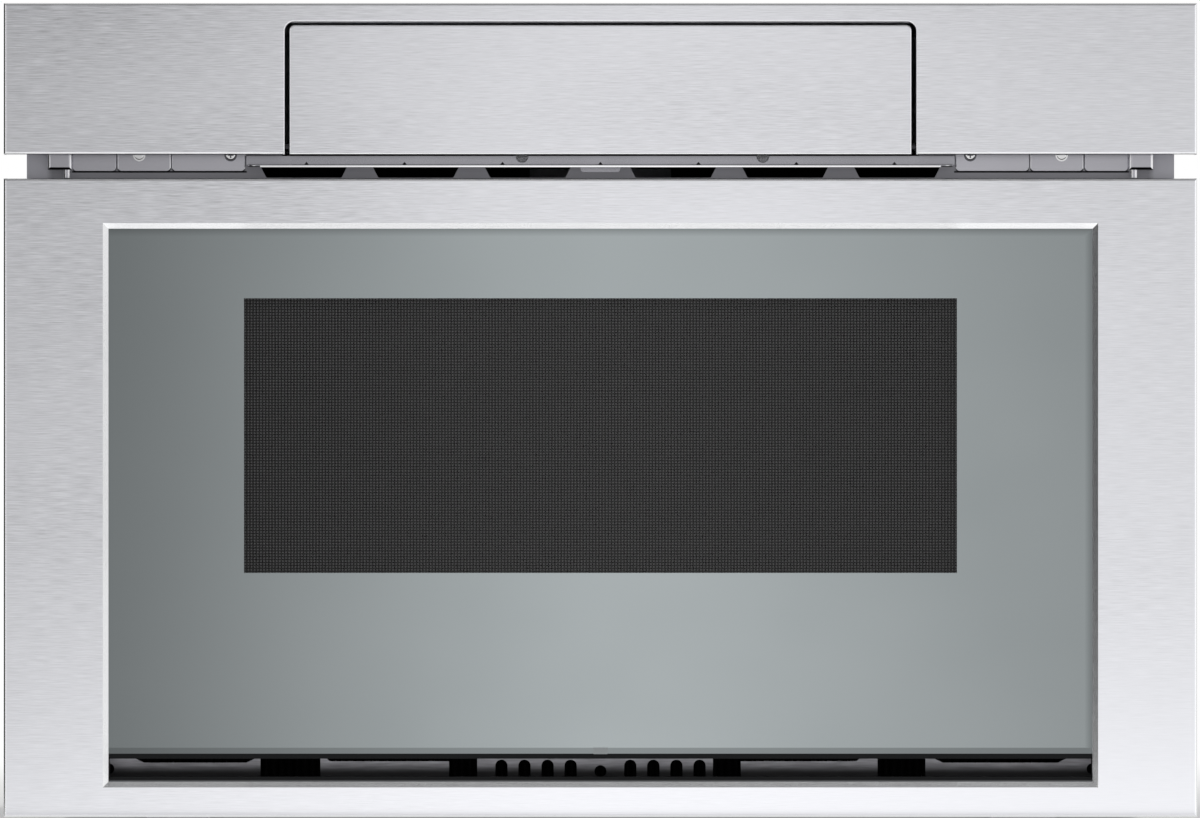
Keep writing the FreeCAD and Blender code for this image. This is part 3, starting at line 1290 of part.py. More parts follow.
def rail_supports():
    """Upright side walls that carry the outer rails, the saddles and the drive motor."""
    x = (support_x, support_x + SUPPORT_THICK)
    y = (cabinet_y + SHEET, cavity_rear_y)
    wall = block(x, y, (pan_top, SUPPORT_TOP))
    front_z = (GRILLE_TOP + TOUCH, SUPPORT_TOP)
    front = block((x[0], x[0] + SUPPORT_FOOT), (cabinet_y, y[0] + SUPPORT_THICK), front_z)
    foot = block((x[0], x[0] + SUPPORT_FOOT), y, (pan_top, pan_top + SUPPORT_THICK))
    body = joined([wall, front, foot])
    step = (y[1] - y[0]) / SUPPORT_HOLE_COUNT
    holes = []
    for index in range(SUPPORT_HOLE_COUNT):
        hole_y = y[0] + step * (index + 1) - step / 2
        holes.append(rod_x(x, hole_y, SUPPORT_HOLE_Z, SUPPORT_HOLE_R))
    relief_z = (pan_top + SUPPORT_THICK, GRILLE_TOP)
    holes.append(block((x[0], x[0] + SUPPORT_FOOT), (cabinet_y, y[0] + SUPPORT_RELIEF), relief_z))
    left = mirrored(minus(body, holes))
    shaft_hole = rod_x(x, pinion_y, pinion_z, PINION_SHAFT_R + TOUCH)
    save("rail_supports", [minus(body, holes + [shaft_hole]), left])


# ---------------------------------------------------------------- drive
pitch_r = GEAR_MODULE * PINION_TEETH / 2
dedendum = 1.25 * GEAR_MODULE
pitch_z = RAIL_LOW - ARM_BELOW + dedendum
pinion_y = plate_y + PINION_FRONT
pinion_z = pitch_z - pitch_r
flank_slope = math.tan(math.radians(PRESSURE_ANGLE))


def drive_rack():
    """Rack on the inner face of the right-hand arm, teeth down; a tooth space is centred on the pinion."""
    pitch = math.pi * GEAR_MODULE
    y_low = door_rear_y - TOUCH
    y_high = tray_rear_y
    root = pitch_z + dedendum
    tip = pitch_z - GEAR_MODULE
    half_pitch_tooth = pitch / 4 - GEAR_BACKLASH / 2
    root_half = half_pitch_tooth + dedendum * flank_slope
    tip_half = half_pitch_tooth - GEAR_MODULE * flank_slope
    first = math.ceil((y_low + root_half - pinion_y) / pitch - 0.5)
    last = math.floor((y_high - root_half - pinion_y) / pitch - 0.5)
    points = [(y_low, root)]
    for index in range(first, last + 1):
        centre = pinion_y + (index + 0.5) * pitch
        points += [
            (centre - root_half, root),
            (centre - tip_half, tip),
            (centre + tip_half, tip),
            (centre + root_half, root),
        ]
    points += [(y_high, root), (y_high, root + RACK_BACK), (y_low, root + RACK_BACK)]
    save("drive_rack", [prism_x(points, (arm_x - RACK_WIDTH, arm_x))])


def involute_angle(radius, base):
    """How far an involute has turned from its base circle at this radius."""
    ratio = math.sqrt(max((radius / base) ** 2 - 1, 0))
    return ratio - math.atan(ratio)


def drive_pinion():
    """Involute pinion with one tooth pointing straight up into the rack, on its shaft."""
    base = pitch_r * math.cos(math.radians(PRESSURE_ANGLE))
    root = pitch_r - dedendum
    outer = pitch_r + GEAR_MODULE
    half_tooth = (math.pi * GEAR_MODULE / 2 - GEAR_BACKLASH) / 2 / pitch_r
    half_at_base = half_tooth + involute_angle(pitch_r, base)
    radii = [root] + [base + (outer - base) * step / 4 for step in range(5)]
    points = []
    for tooth in range(PINION_TEETH):
        middle = math.pi / 2 + tooth * 2 * math.pi / PINION_TEETH
        sides = []
        for radius in radii:
            sides.append((radius, half_at_base - involute_angle(max(radius, base), base)))
        for radius, half in sides:
            points.append((radius, middle - half))
        for radius, half in reversed(sides):
            points.append((radius, middle + half))
    outline = [(pinion_y + r * math.cos(a), pinion_z + r * math.sin(a)) for r, a in points]
    x = (arm_x - RACK_WIDTH, arm_x - RACK_WIDTH + GEAR_WIDTH)
    shaft_end = support_x + SUPPORT_THICK + MOTOR_GEARCASE / 2
    shaft = rod_x((x[0], shaft_end), pinion_y, pinion_z, PINION_SHAFT_R)
    save("drive_pinion", [joined([prism_x(outline, x), shaft])])


def drive_motor():
    """Gear motor on the outer side of the right-hand rail support."""
    start = support_x + SUPPORT_THICK
    end = start + MOTOR_GEARCASE
    y = (pinion_y - MOTOR_FRONT, pinion_y + MOTOR_WIDTH)
    case = block((start, end), y, span(pinion_z, MOTOR_HEIGHT))
    can = rod_x((end, end + MOTOR_CAN_LENGTH), pinion_y + MOTOR_WIDTH / 2, pinion_z, MOTOR_CAN_R)
    socket = rod_x((start, start + MOTOR_GEARCASE / 2 + TOUCH), pinion_y, pinion_z, PINION_SHAFT_R + RUNNING)
    save("drive_motor", [joined([case, can]).cut(socket)])


# ---------------------------------------------------------------- cooling
fan_x = FAN_INSET - case_half
fan_y = (cavity_rear_y + case_inner_y) / 2
fan_z = magnetron_low() + MAGNETRON_PLATE + MAGNETRON_FIN_PITCH * MAGNETRON_FIN_COUNT / 2
shroud_half = (case_inner_y - cavity_rear_y) / 2
fan_tip_r = shroud_half - FAN_SHROUD_GAP - FAN_TIP_GAP


def fan_impeller():
    hub = rod_x(span(fan_x, FAN_HUB_LENGTH), fan_y, fan_z, FAN_HUB_R)
    bore_x = (fan_x - FAN_HUB_LENGTH / 2, fan_x)
    hub = hub.cut(rod_x(bore_x, fan_y, fan_z, FAN_SHAFT_R + RUNNING))
    blades = []
    for index in range(FAN_BLADES):
        blade_z = (FAN_HUB_R - FAN_BLADE_ROOT, fan_tip_r)
        blade = block(span(0, FAN_BLADE_THICK), span(0, FAN_BLADE_CHORD), blade_z)
        blade.rotate(V(0, 0, 0), V(0, 0, 1), FAN_BLADE_ANGLE)
        blade.rotate(V(0, 0, 0), V(1, 0, 0), index * 360 / FAN_BLADES)
        blade.translate(V(fan_x, fan_y, fan_z))
        blades.append(blade)
    sweep = rod_x(span(fan_x, FAN_HUB_LENGTH), fan_y, fan_z, fan_tip_r)
    save("fan_impeller", [joined([hub] + blades).common(sweep)])


def fan_shroud():
    """Plate across the rear bay with the round opening that the impeller turns in."""
    low = fan_z - shroud_half
    y = (cavity_rear_y, case_inner_y)
    plate = block(span(fan_x, FAN_SHROUD_THICK), y, (low, fan_z + shroud_half))
    ring = rod_x(span(fan_x, FAN_RING), fan_y, fan_z, fan_tip_r + FAN_TIP_GAP + FAN_SHROUD_THICK)
    hole = rod_x(span(fan_x, FAN_RING), fan_y, fan_z, fan_tip_r + FAN_TIP_GAP)
    foot = block(span(fan_x, FAN_RING * 2), y, (low, low + FAN_SHROUD_THICK))
    save("fan_shroud", [joined([plate, ring, foot]).cut(hole)])


def fan_motor():
    """Square motor behind the impeller, its shaft in the hub, on a bracket across the rear bay."""
    end = fan_x - FAN_HUB_LENGTH / 2 - FAN_MOTOR_GAP
    body = block((end - FAN_MOTOR_LENGTH, end), span(fan_y, FAN_MOTOR_SIZE), span(fan_z, FAN_MOTOR_SIZE))
    shaft = rod_x((end, fan_x - TOUCH), fan_y, fan_z, FAN_SHAFT_R)
    y = (cavity_rear_y, case_inner_y)
    bar = block((end - FAN_MOTOR_LENGTH / 2, end - FAN_MOTOR_LENGTH / 4), y, span(fan_z, FAN_MOTOR_SIZE / 4))
    save("fan_motor", [joined([body, shaft, bar])])


def air_guide():
    """Four-sided guide from the fan shroud to the magnetron's fins."""
    x = (fan_x + FAN_HUB_LENGTH / 2 + FAN_TIP_GAP, -MAGNETRON_WIDTH / 2 - AIR_GUIDE_END_GAP)
    end = case_inner_y - MAGNETRON_REAR_GAP
    y = (end - MAGNETRON_DEPTH, end)
    low = magnetron_low() + MAGNETRON_PLATE
    z = (low, low + MAGNETRON_FIN_PITCH * MAGNETRON_FIN_COUNT)
    outer = block(x, y, z)
    inner_y = (y[0] + AIR_GUIDE_SHEET, y[1] - AIR_GUIDE_SHEET)
    inner = block(x, inner_y, (z[0] + AIR_GUIDE_SHEET, z[1] - AIR_GUIDE_SHEET))
    save("air_guide", [outer.cut(inner)])


# ---------------------------------------------------------------- power and control
def transformer_y():
    """Both transformer pieces stand in the rear bay, on the base pan."""
    rear = case_inner_y - TRANSFORMER_FLANGE
    return (rear - TRANSFORMER_DEPTH, rear)


def transformer_core():
    """Laminated core with two winding windows and a welded foot plate."""
    x = span(transformer_x, TRANSFORMER_WIDTH)
    y = transformer_y()
    body = block(x, y, (pan_top + SHEET, pan_top + TRANSFORMER_HEIGHT))
    window_width = (TRANSFORMER_WIDTH - 4 * TRANSFORMER_LEG) / 2
    z = (pan_top + TRANSFORMER_LEG, pan_top + TRANSFORMER_HEIGHT - TRANSFORMER_LEG)
    left = (x[0] + TRANSFORMER_LEG, x[0] + TRANSFORMER_LEG + window_width)
    right = (x[1] - TRANSFORMER_LEG - window_width, x[1] - TRANSFORMER_LEG)
    foot_y = (y[0] - TRANSFORMER_FLANGE, y[1] + TRANSFORMER_FLANGE / 2)
    foot = block(x, foot_y, (pan_top, pan_top + SHEET))
    save("transformer_core", [joined([minus(body, [block(left, y, z), block(right, y, z)]), foot])])


def transformer_windings():
    """Two coils round the middle leg, one above the other."""
    y = transformer_y()
    window_width = (TRANSFORMER_WIDTH - 4 * TRANSFORMER_LEG) / 2
    outer_x = span(transformer_x, 2 * TRANSFORMER_LEG + 2 * window_width - 2 * TRANSFORMER_WIND_GAP)
    leg_x = span(transformer_x, 2 * TRANSFORMER_LEG)
    outer_y = (y[0] - TRANSFORMER_FLANGE, y[1] + TRANSFORMER_FLANGE / 2)
    low = pan_top + TRANSFORMER_LEG + TRANSFORMER_WIND_GAP
    high = pan_top + TRANSFORMER_HEIGHT - TRANSFORMER_LEG - TRANSFORMER_WIND_GAP
    middle = (low + high) / 2
    coils = []
    for z in ((low, middle - TRANSFORMER_WIND_GAP), (middle + TRANSFORMER_WIND_GAP, high)):
        coils.append(block(outer_x, outer_y, z).cut(block(leg_x, y, z)))
    save("transformer_windings", coils)


def capacitor():
    y_end = case_inner_y - TRANSFORMER_FLANGE
    top = pan_top + CAPACITOR_HEIGHT
    body = block(span(capacitor_x, CAPACITOR_WIDTH), (y_end - CAPACITOR_DEPTH, y_end), (pan_top, top))
    uprights = edges_where(body, lambda b: b.XLength + b.YLength < EPS)
    body = body.makeFillet(CAPACITOR_CORNER_R, uprights)
    y = y_end - CAPACITOR_DEPTH / 2
    pins = []
    for x in span(capacitor_x, CAPACITOR_TERMINAL_PITCH):
        pins.append(rod_z(x, y, (top, top + CAPACITOR_TERMINAL), CAPACITOR_TERMINAL_R))
    save("capacitor", [joined([body] + pins)])


def power_board():
    """Board with relays and noise filter, stood off the left side of the case."""
    wall = -case_half + CASE_SHEET
    y = (cabinet_y + POWER_SETBACK, cabinet_y + POWER_SETBACK + POWER_WIDTH)
    z = (POWER_LOW, POWER_LOW + POWER_HEIGHT)
    board_x = (wall + POWER_STANDOFF, wall + POWER_STANDOFF + POWER_TRAY)
    pieces = [block(board_x, y, z)]
    for foot_y in (y[0], y[1] - POWER_STANDOFF):
        for foot_z in (z[0], z[1] - POWER_STANDOFF):
            side_y = (foot_y, foot_y + POWER_STANDOFF)
            pieces.append(block((wall, board_x[0]), side_y, (foot_z, foot_z + POWER_STANDOFF)))
    step = POWER_WIDTH / len(POWER_BLOCKS)
    for index, size in enumerate(POWER_BLOCKS):
        centre = y[0] + step * (index + 1) - step / 2
        middle = (z[0] + z[1]) / 2
        pieces.append(block((board_x[1], board_x[1] + size[0]), span(centre, size[1]), span(middle, size[2])))
    save("power_board", [joined(pieces)])


def interlock_switches():
    """A bracket with its micro-switch beside each latch hook, on the back of the front plate."""
    start = hook_x + HOOK_THICK / 2 + TOUCH
    z_middle = HOOK_LOW + HOOK_HEIGHT / 2
    y = (cabinet_y, cabinet_y + SWITCH_BRACKET_DEPTH)
    switch_y = (cabinet_y + SWITCH_BRACKET, cabinet_y + SWITCH_BRACKET + SWITCH_DEPTH)
    switch = block((start, start + SWITCH_WIDTH), switch_y, span(z_middle, SWITCH_HEIGHT))
    web_x = (start + SWITCH_WIDTH, start + SWITCH_WIDTH + SWITCH_BRACKET)
    web = block(web_x, y, span(z_middle, SWITCH_HEIGHT * 2))
    flange_x = (web_x[1], web_x[1] + SWITCH_WIDTH)
    flange = block(flange_x, (y[0], y[0] + SWITCH_BRACKET), span(z_middle, SWITCH_HEIGHT * 2))
    save("interlock_switches", both_sides([joined([switch, web, flange])]))


# ---------------------------------------------------------------- build
base_pan()
outer_wrapper()
rear_panel()
cord_gland()
case_screws()
front_plate()
intake_grille()
fascia()
fascia_blocks()
fascia_plates()
fascia_screws()
console_shelf()
steam_deflector()
flap_bumpers()
console_hinge_brackets()
control_flap()
console_housing()
control_glass()
console_board()
console_hinge_pins()
drawer_front_frame()
door_glass()
glass_tab()
vent_bezel()
door_core()
window_screen()
inner_window()
door_rear_panel()
choke_ring()
latch_hooks()
drawer_tray()
ceramic_floor()
cavity_shell()
feed_cover()
feed_box()
waveguide()
magnetron()
stirrer_antenna()
stirrer_motor()
cavity_saddles()
lamp()
exhaust_duct()
rail_outers()
rail_inners()
rail_middles()
slide_arms()
rail_supports()
drive_rack()
drive_pinion()
drive_motor()
fan_impeller()
fan_shroud()
fan_motor()
air_guide()
transformer_core()
transformer_windings()
capacitor()
power_board()
interlock_switches()
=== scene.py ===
# Built-in microwave drawer: finishes, small parts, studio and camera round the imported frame. Metres.
import json
import math

import bmesh
import bpy
from mathutils import Matrix, Vector


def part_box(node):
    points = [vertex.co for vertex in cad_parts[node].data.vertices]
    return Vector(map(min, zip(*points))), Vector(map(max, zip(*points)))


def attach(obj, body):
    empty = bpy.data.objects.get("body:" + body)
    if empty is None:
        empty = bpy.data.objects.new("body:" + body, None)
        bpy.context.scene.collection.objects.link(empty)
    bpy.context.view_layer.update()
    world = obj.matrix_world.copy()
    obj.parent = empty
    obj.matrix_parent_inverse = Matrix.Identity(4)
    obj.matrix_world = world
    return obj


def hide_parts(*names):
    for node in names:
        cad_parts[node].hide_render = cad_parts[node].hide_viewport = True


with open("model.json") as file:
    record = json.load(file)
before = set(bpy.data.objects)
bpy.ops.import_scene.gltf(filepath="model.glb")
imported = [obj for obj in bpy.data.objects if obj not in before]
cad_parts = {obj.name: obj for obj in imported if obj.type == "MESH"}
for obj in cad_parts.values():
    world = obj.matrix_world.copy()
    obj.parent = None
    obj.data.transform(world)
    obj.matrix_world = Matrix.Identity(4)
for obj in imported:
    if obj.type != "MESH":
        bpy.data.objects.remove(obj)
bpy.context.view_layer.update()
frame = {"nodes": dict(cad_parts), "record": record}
nodes = frame["nodes"]

MM = 0.001

# ---------------------------------------------------------------- camera and studio, sizes
PHOTO_WIDTH = 0.76293  # what the photograph's frame spans at the front face
PHOTO_CENTRE_X = -0.0003
PHOTO_CENTRE_Z = 0.2614
CAMERA_DISTANCE = 16.0  # from the front face
SENSOR = 36.0

FLOOR_SIDE = 40.0
FLOOR_DROP = 0.2 * MM
FLOOR_FADE = (1.0, 2.6)  # distances from the middle between which the floor's paper turns into white
FLOOR_REFLECTED = 0.78  # level of the white that metal and glass see in the floor
FLOOR_REFLECTED_SHARE = 0.85  # the rest is the paper itself
WORLD_WHITE = 1.0
WORLD_DIFFUSE = 0.62
WORLD_HORIZON = 0.84  # what metal and glass see at the horizon and straight up
WORLD_ZENITH = 0.55

# Cards and flags are seen only in reflections. The front card stands ahead of the object.
CARD_DISTANCE = 1.1
CARD_WIDTH = 3.0
CARD_HEIGHT = 2.6
CARD_MIDDLE_Z = 0.30
CARD_FADE = 0.16  # share of the card over which its edges fade out
CARD_LEFT = 0.432
CARD_MIDDLE = 1.01
CARD_RIGHT = 0.658
CARD_SPREAD = 0.42  # from the middle to where the side levels are reached
CARD_TOP_LEVEL = 0.97
CARD_BOTTOM_LEVEL = 1.115
CARD_RISE = 0.26  # from the middle to where the top and bottom levels are reached
CARD_FAR = (0.6, 1.1)  # beyond the object's sides, where the card turns white

FLAG_NEAR = 0.004  # gap from the front face's plane to the right and top flags and the floor card
FLAG_DEPTH = 0.9  # how far they reach ahead of it
FLAG_HEIGHT = 1.2
FLAG_WIDTH = 1.6
FLAG_FADE = 0.30
FLAG_TOP_Z = 0.78
FLAG_TOP_LEVEL = 0.26
# REACH and TURN are measured from the front face, negative ahead of it. LEVELS hold beyond and within TURN.
FLAG_LEFT_X = -0.62
FLAG_LEFT_REACH = (-0.9, 0.9)
FLAG_LEFT_TURN = (-0.20, -0.09)
FLAG_LEFT_LEVELS = (1.0, 0.04)
FLAG_RIGHT_X = 0.9
FLAG_RIGHT_TURN = (-0.35, -0.20)
FLAG_RIGHT_LEVELS = (1.25, 0.85)
FLOOR_CARD_X = 0.12
FLOOR_CARD_Z = 0.004
FLOOR_CARD_TURN = (-0.42, -0.10)
FLOOR_CARD_LEVELS = (0.93, 1.20)

LAMP_AIM = (0.0, 0.0, 0.25)
LAMPS = (  # name, place, size, power in watts
    ("key", (-1.3, -2.4, 2.4), (2.2, 1.6), 34),
    ("fill", (2.2, -1.6, 1.4), (1.6, 1.6), 16),
    ("back", (0.6, 2.6, 2.2), (2.0, 1.4), 26),
)

# ---------------------------------------------------------------- finishes, sizes
NOISE_LOW = 0.3  # most of a noise texture's values lie between these
NOISE_HIGH = 0.7
STREAK_LENGTH = 14 * MM
STREAK_HEIGHT = 0.44 * MM
STREAK_RANGE = (0.36, 0.64)  # of the noise
# Painted shade: the streaks only darken the steel, so their strength also paints it darker to the left and
# higher up and lighter low down.
STREAK_RIGHT = 0.5  # strength of the streaks at the right edge, against the left
STREAK_FAINT = ((0.03, 0.20), 0.38)  # heights over which they gain their strength, and their share below
STREAK_STRONG = ((0.38, 0.44), 1.45)  # heights over which the fascia's gain more, and their share above
FRONT_HALF = 0.38
# Painted highlight: folds and bevels of the brushed steel take this near-white colour.
FOLD_HIGHLIGHT = (0.97, 0.975, 0.985)
FOLD_ROUGHNESS = 0.15
GAP_WALL = 3.0 * MM  # steel next to the shadow gap that is painted dark as shade, above and below it
# Painted light on the grille: it turns from near black to the lit top colour over these heights.
GRILLE_RISE = (29.2 * MM, 38.5 * MM)
GRILLE_LIT_TOP = (0.62, 0.615, 0.66)
SCREEN_PITCH_X = 2.0 * MM
SCREEN_PITCH_Z = 1.85 * MM
SCREEN_DOT = 0.62 * MM
SCREEN_LAP = 6.0 * MM
GLASS_LAP = 5.0 * MM
# Painted shadow of the frame on the glass: bands along its right and top edges and its foot.
GLASS_SHADOW_BAND = 5.0 * MM
GLASS_FOOT_SHADOW = (3.6 * MM, 3.9 * MM)
MIRROR_LOW = (0.334, 0.367, 0.374)
MIRROR_HIGH = (0.364, 0.397, 0.404)
# Painted shade on the mirror coating: darker towards the left, and in bands along the frame's edges.
MIRROR_LEFT_SHADE = 0.72
MIRROR_EDGE_SHADE = 0.55
WINDOW_TINT = 0.35
# Painted light: the front plate is painted lighter beyond the plates' ends, where they cast no shade on it.
PLATES_END = 349 * MM
PLATES_END_LIGHT = 1.55
SCREW_FLANGE_DROP = 1.9 * MM  # from the fascia screws' crowns to their flanges

# ---------------------------------------------------------------- places from the frame
door_low, door_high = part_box("drawer_front_frame")
front_y = door_low.y
fascia_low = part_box("fascia")[0]
window_low, window_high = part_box("window_screen")
window_half = window_high.x - SCREEN_LAP
window_z = (window_low.z + SCREEN_LAP, window_high.z - SCREEN_LAP)
glass_low, glass_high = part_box("door_glass")
bezel_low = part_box("vent_bezel")[0]
bezel_lip = (bezel_low.z + 3.0 * MM, bezel_low.z + 4.4 * MM)
plates_low, plates_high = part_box("fascia_plates")
shelf_low, shelf_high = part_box("console_shelf")
# Bands of painted shadow on the front plate: a dark line under the plates, and dark behind the shelf where
# its notches show it.
plate_shadow_band = ((shelf_high.x, plates_high.x), (plates_low.z - 0.35 * MM, plates_low.z + 0.5 * MM))
shelf_shade_band = ((0.0, shelf_high.x - 2 * MM), (shelf_low.z + 0.3 * MM, shelf_low.z + 3.0 * MM))
case_low, case_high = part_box("outer_wrapper")


# ---------------------------------------------------------------- node helpers
class Nodes:
    """Short calls for the nodes of one tree."""

    def __init__(self, tree):
        self.tree = tree

    def first(self, kind):
        return next(node for node in self.tree.nodes if node.type == kind)

    def node(self, kind, **settings):
        made = self.tree.nodes.new(kind)
        for key, value in settings.items():
            setattr(made, key, value)
        return made

    def put(self, socket, value):
        """Link a socket, or set a number or a colour on it."""
        if isinstance(value, bpy.types.NodeSocket):
            self.tree.links.new(value, socket)
        elif isinstance(value, (tuple, list)) and len(value) == 3 and socket.type == "RGBA":
            socket.default_value = (*value, 1.0)
        else:
            socket.default_value = value

    def coordinates(self, kind):
        return self.node("ShaderNodeTexCoord").outputs[kind]

    def split(self, vector):
        made = self.node("ShaderNodeSeparateXYZ")
        self.put(made.inputs[0], vector)
        return made.outputs

    def math(self, operation, a, b=0.0, c=None):
        made = self.node("ShaderNodeMath", operation=operation)
        self.put(made.inputs[0], a)
        self.put(made.inputs[1], b)
        if c is not None:
            self.put(made.inputs[2], c)
        return made.outputs[0]

    def product(self, a, b):
        return self.math("MULTIPLY", a, b)

    def larger(self, a, b):
        return self.math("MAXIMUM", a, b)

    def span(self, value, low, high, to_low, to_high, smooth=False):
        """Value rescaled from low...high to to_low...to_high, clamped."""
        made = self.node("ShaderNodeMapRange")
        if smooth:
            made.interpolation_type = "SMOOTHSTEP"
        for index, item in enumerate((value, low, high, to_low, to_high)):
            self.put(made.inputs[index], item)
        return made.outputs[0]


class Paint(Nodes):
    """A material with one Principled shader, and short calls for what feeds it."""

    def __init__(self, name, **constants):
        self.material = bpy.data.materials.new(name)
        self.material.use_nodes = True
        super().__init__(self.material.node_tree)
        self.shader = self.first("BSDF_PRINCIPLED")
        self.place = self.coordinates("Object")
        for socket, value in constants.items():
            self.set(socket.replace("_", " "), value)

    def set(self, socket, value):
        self.put(self.shader.inputs[socket], value)

    def surface(self, share, low, high):
        """Let the material end in a mix of two shaders instead."""
        blend = self.node("ShaderNodeMixShader")
        for index, item in enumerate((share, low, high)):
            self.put(blend.inputs[index], item)
        self.put(self.first("OUTPUT_MATERIAL").inputs["Surface"], blend.outputs[0])

    def scaled(self, x, y, z):
        """The object's coordinates with one unit per x, y and z metres."""
        mapping = self.node("ShaderNodeMapping")
        self.put(mapping.inputs["Vector"], self.place)
        mapping.inputs["Scale"].default_value = (1 / x, 1 / y, 1 / z)
        return mapping.outputs[0]

    def noise(self, size, detail=3.0, rough=0.55, distortion=0.0):
        """Noise whose features are about size metres, or (x, y, z) metres."""
        size = size if isinstance(size, tuple) else (size, size, size)
        made = self.node("ShaderNodeTexNoise")
        self.put(made.inputs["Vector"], self.scaled(*size))
        made.inputs["Scale"].default_value = 1.0
        made.inputs["Detail"].default_value = detail
        made.inputs["Roughness"].default_value = rough
        made.inputs["Distortion"].default_value = distortion
        return made.outputs[0]

    def cells(self, size, feature="F1", output="Color"):
        made = self.node("ShaderNodeTexVoronoi", feature=feature)
        self.put(made.inputs["Vector"], self.scaled(size, size, size))
        made.inputs["Scale"].default_value = 1.0
        return made.outputs[output]

    def mix(self, share, a, b):
        made = self.node("ShaderNodeMix", data_type="RGBA")
        self.put(made.inputs[0], share)
        self.put(made.inputs[6], a)
        self.put(made.inputs[7], b)
        return made.outputs[2]

    def blend(self, value, first, second, share=1.0, low=NOISE_LOW, high=NOISE_HIGH):
        """The first colour up to low, turning into the second, or a share of it, at high."""
        return self.mix(self.span(value, low, high, 0.0, share), first, second)

    def axes(self):
        return self.split(self.place)

    def normal(self):
        return self.split(self.coordinates("Normal"))

    def between(self, axis, limits, soft):
        """1 where the distance from the axis's zero lies between the limits, fading over soft metres."""
        place = self.math("ABSOLUTE", self.axes()[axis])
        rising = self.span(place, limits[0] - soft, limits[0], 0.0, 1.0)
        falling = self.span(place, limits[1], limits[1] + soft, 1.0, 0.0)
        return self.product(rising, falling)

    def folds(self):
        """1 on rounded edges of the front, 0 on faces square to Y or at right angles to it."""
        facing = self.math("ABSOLUTE", self.normal()[1])
        off_front = self.span(facing, 0.80, 0.98, 1.0, 0.0)
        return self.product(off_front, self.span(facing, 0.02, 0.12, 0.0, 1.0))

    def roughness(self, value, at_low, at_high, low=NOISE_LOW, high=NOISE_HIGH):
        self.set("Roughness", self.span(value, low, high, at_low, at_high))

    def fold_roughness(self, rough, fold, usual):
        """Rough on the faces, and glossier by the same step from usual on the folds."""
        self.set("Roughness", self.math("ADD", rough, self.product(fold, FOLD_ROUGHNESS - usual)))

    def bump(self, height, depth, strength):
        made = self.node("ShaderNodeBump")
        made.inputs["Strength"].default_value = strength
        made.inputs["Distance"].default_value = depth
        self.put(made.inputs["Height"], height)
        self.set("Normal", made.outputs[0])


def shade(colour, factor):
    return tuple(channel * factor for channel in colour)


# ---------------------------------------------------------------- finishes
def brushed_steel(name, colour, roughness, contrast):
    """Stainless steel brushed along X: streaks in colour, roughness and height, whose strength also paints
    shade, painted shade by the shadow gap and a painted highlight on folds.
    """
    paint = Paint(name, Metallic=1.0, Anisotropic=0.6, Anisotropic_Rotation=0.25)
    paint.set("Tangent", paint.node("ShaderNodeTangent", direction_type="RADIAL", axis="Z").outputs[0])
    streaks = paint.noise((STREAK_LENGTH, STREAK_HEIGHT, STREAK_HEIGHT), detail=3.0, rough=0.6)
    long_streaks = paint.noise((STREAK_LENGTH * 3, STREAK_HEIGHT, STREAK_HEIGHT), detail=2.0)
    clouds = paint.noise((0.30, 0.12, 0.12), detail=1.0)
    grain = paint.math("ADD", paint.product(streaks, 0.7), paint.product(long_streaks, 0.3))
    x, _, z = paint.axes()
    # Painted shade: streak strength rises to the left and higher up, darkening the steel there.
    strength = paint.span(x, -FRONT_HALF, FRONT_HALF, contrast, STREAK_RIGHT * contrast)
    strength = paint.product(strength, paint.span(z, *STREAK_FAINT[0], STREAK_FAINT[1], 1.0))
    strength = paint.product(strength, paint.span(z, *STREAK_STRONG[0], 1.0, STREAK_STRONG[1]))
    level = paint.product(paint.span(grain, *STREAK_RANGE, 1.0, 0.0), strength)
    tone = paint.mix(level, colour, (0.0, 0.0, 0.0))
    tone = paint.blend(clouds, tone, shade(colour, 0.97), 0.5)
    # Painted shade: level faces next to the shadow gap turn near black.
    over_door = paint.span(z, door_high.z - GAP_WALL, door_high.z, 0.0, 1.0)
    under_fascia = paint.span(z, fascia_low.z, fascia_low.z + GAP_WALL, 1.0, 0.0)
    level_face = paint.span(paint.math("ABSOLUTE", paint.normal()[2]), 0.95, 0.99, 0.0, 0.7)
    gap_shade = paint.product(paint.product(over_door, under_fascia), level_face)
    tone = paint.mix(gap_shade, tone, (0.05, 0.05, 0.055))
    # Painted highlight on the folds.
    fold = paint.folds()
    paint.set("Base Color", paint.mix(fold, tone, FOLD_HIGHLIGHT))
    rough = paint.span(grain, *STREAK_RANGE, roughness - 0.05, roughness + 0.05)
    paint.fold_roughness(rough, fold, roughness)
    paint.bump(grain, 0.03 * MM, 0.35)
    return paint.material


def zinc_sheet(name, colour, roughness):
    """Galvanised sheet: faint spangle, rolling marks and a few scuffs."""
    paint = Paint(name, Metallic=1.0)
    grey = paint.node("ShaderNodeRGBToBW")
    paint.put(grey.inputs[0], paint.cells(11 * MM))
    spangle = paint.span(grey.outputs[0], 0.2, 0.8, 0.0, 1.0)
    rolling = paint.noise((1.5 * MM, 90 * MM, 1.5 * MM), detail=3.0)
    scuffs = paint.noise((40 * MM, 6 * MM, 40 * MM), detail=5.0, rough=0.7, distortion=0.8)
    tone = paint.mix(spangle, shade(colour, 0.9), colour)
    tone = paint.blend(rolling, tone, shade(colour, 0.86), 0.35, low=0.35, high=0.65)
    paint.set("Base Color", paint.blend(scuffs, tone, shade(colour, 1.12), 0.35, low=0.62, high=0.72))
    paint.roughness(spangle, roughness - 0.04, roughness + 0.05, low=0.0, high=1.0)
    paint.bump(paint.math("ADD", rolling, spangle), 0.04 * MM, 0.3)
    return paint.material


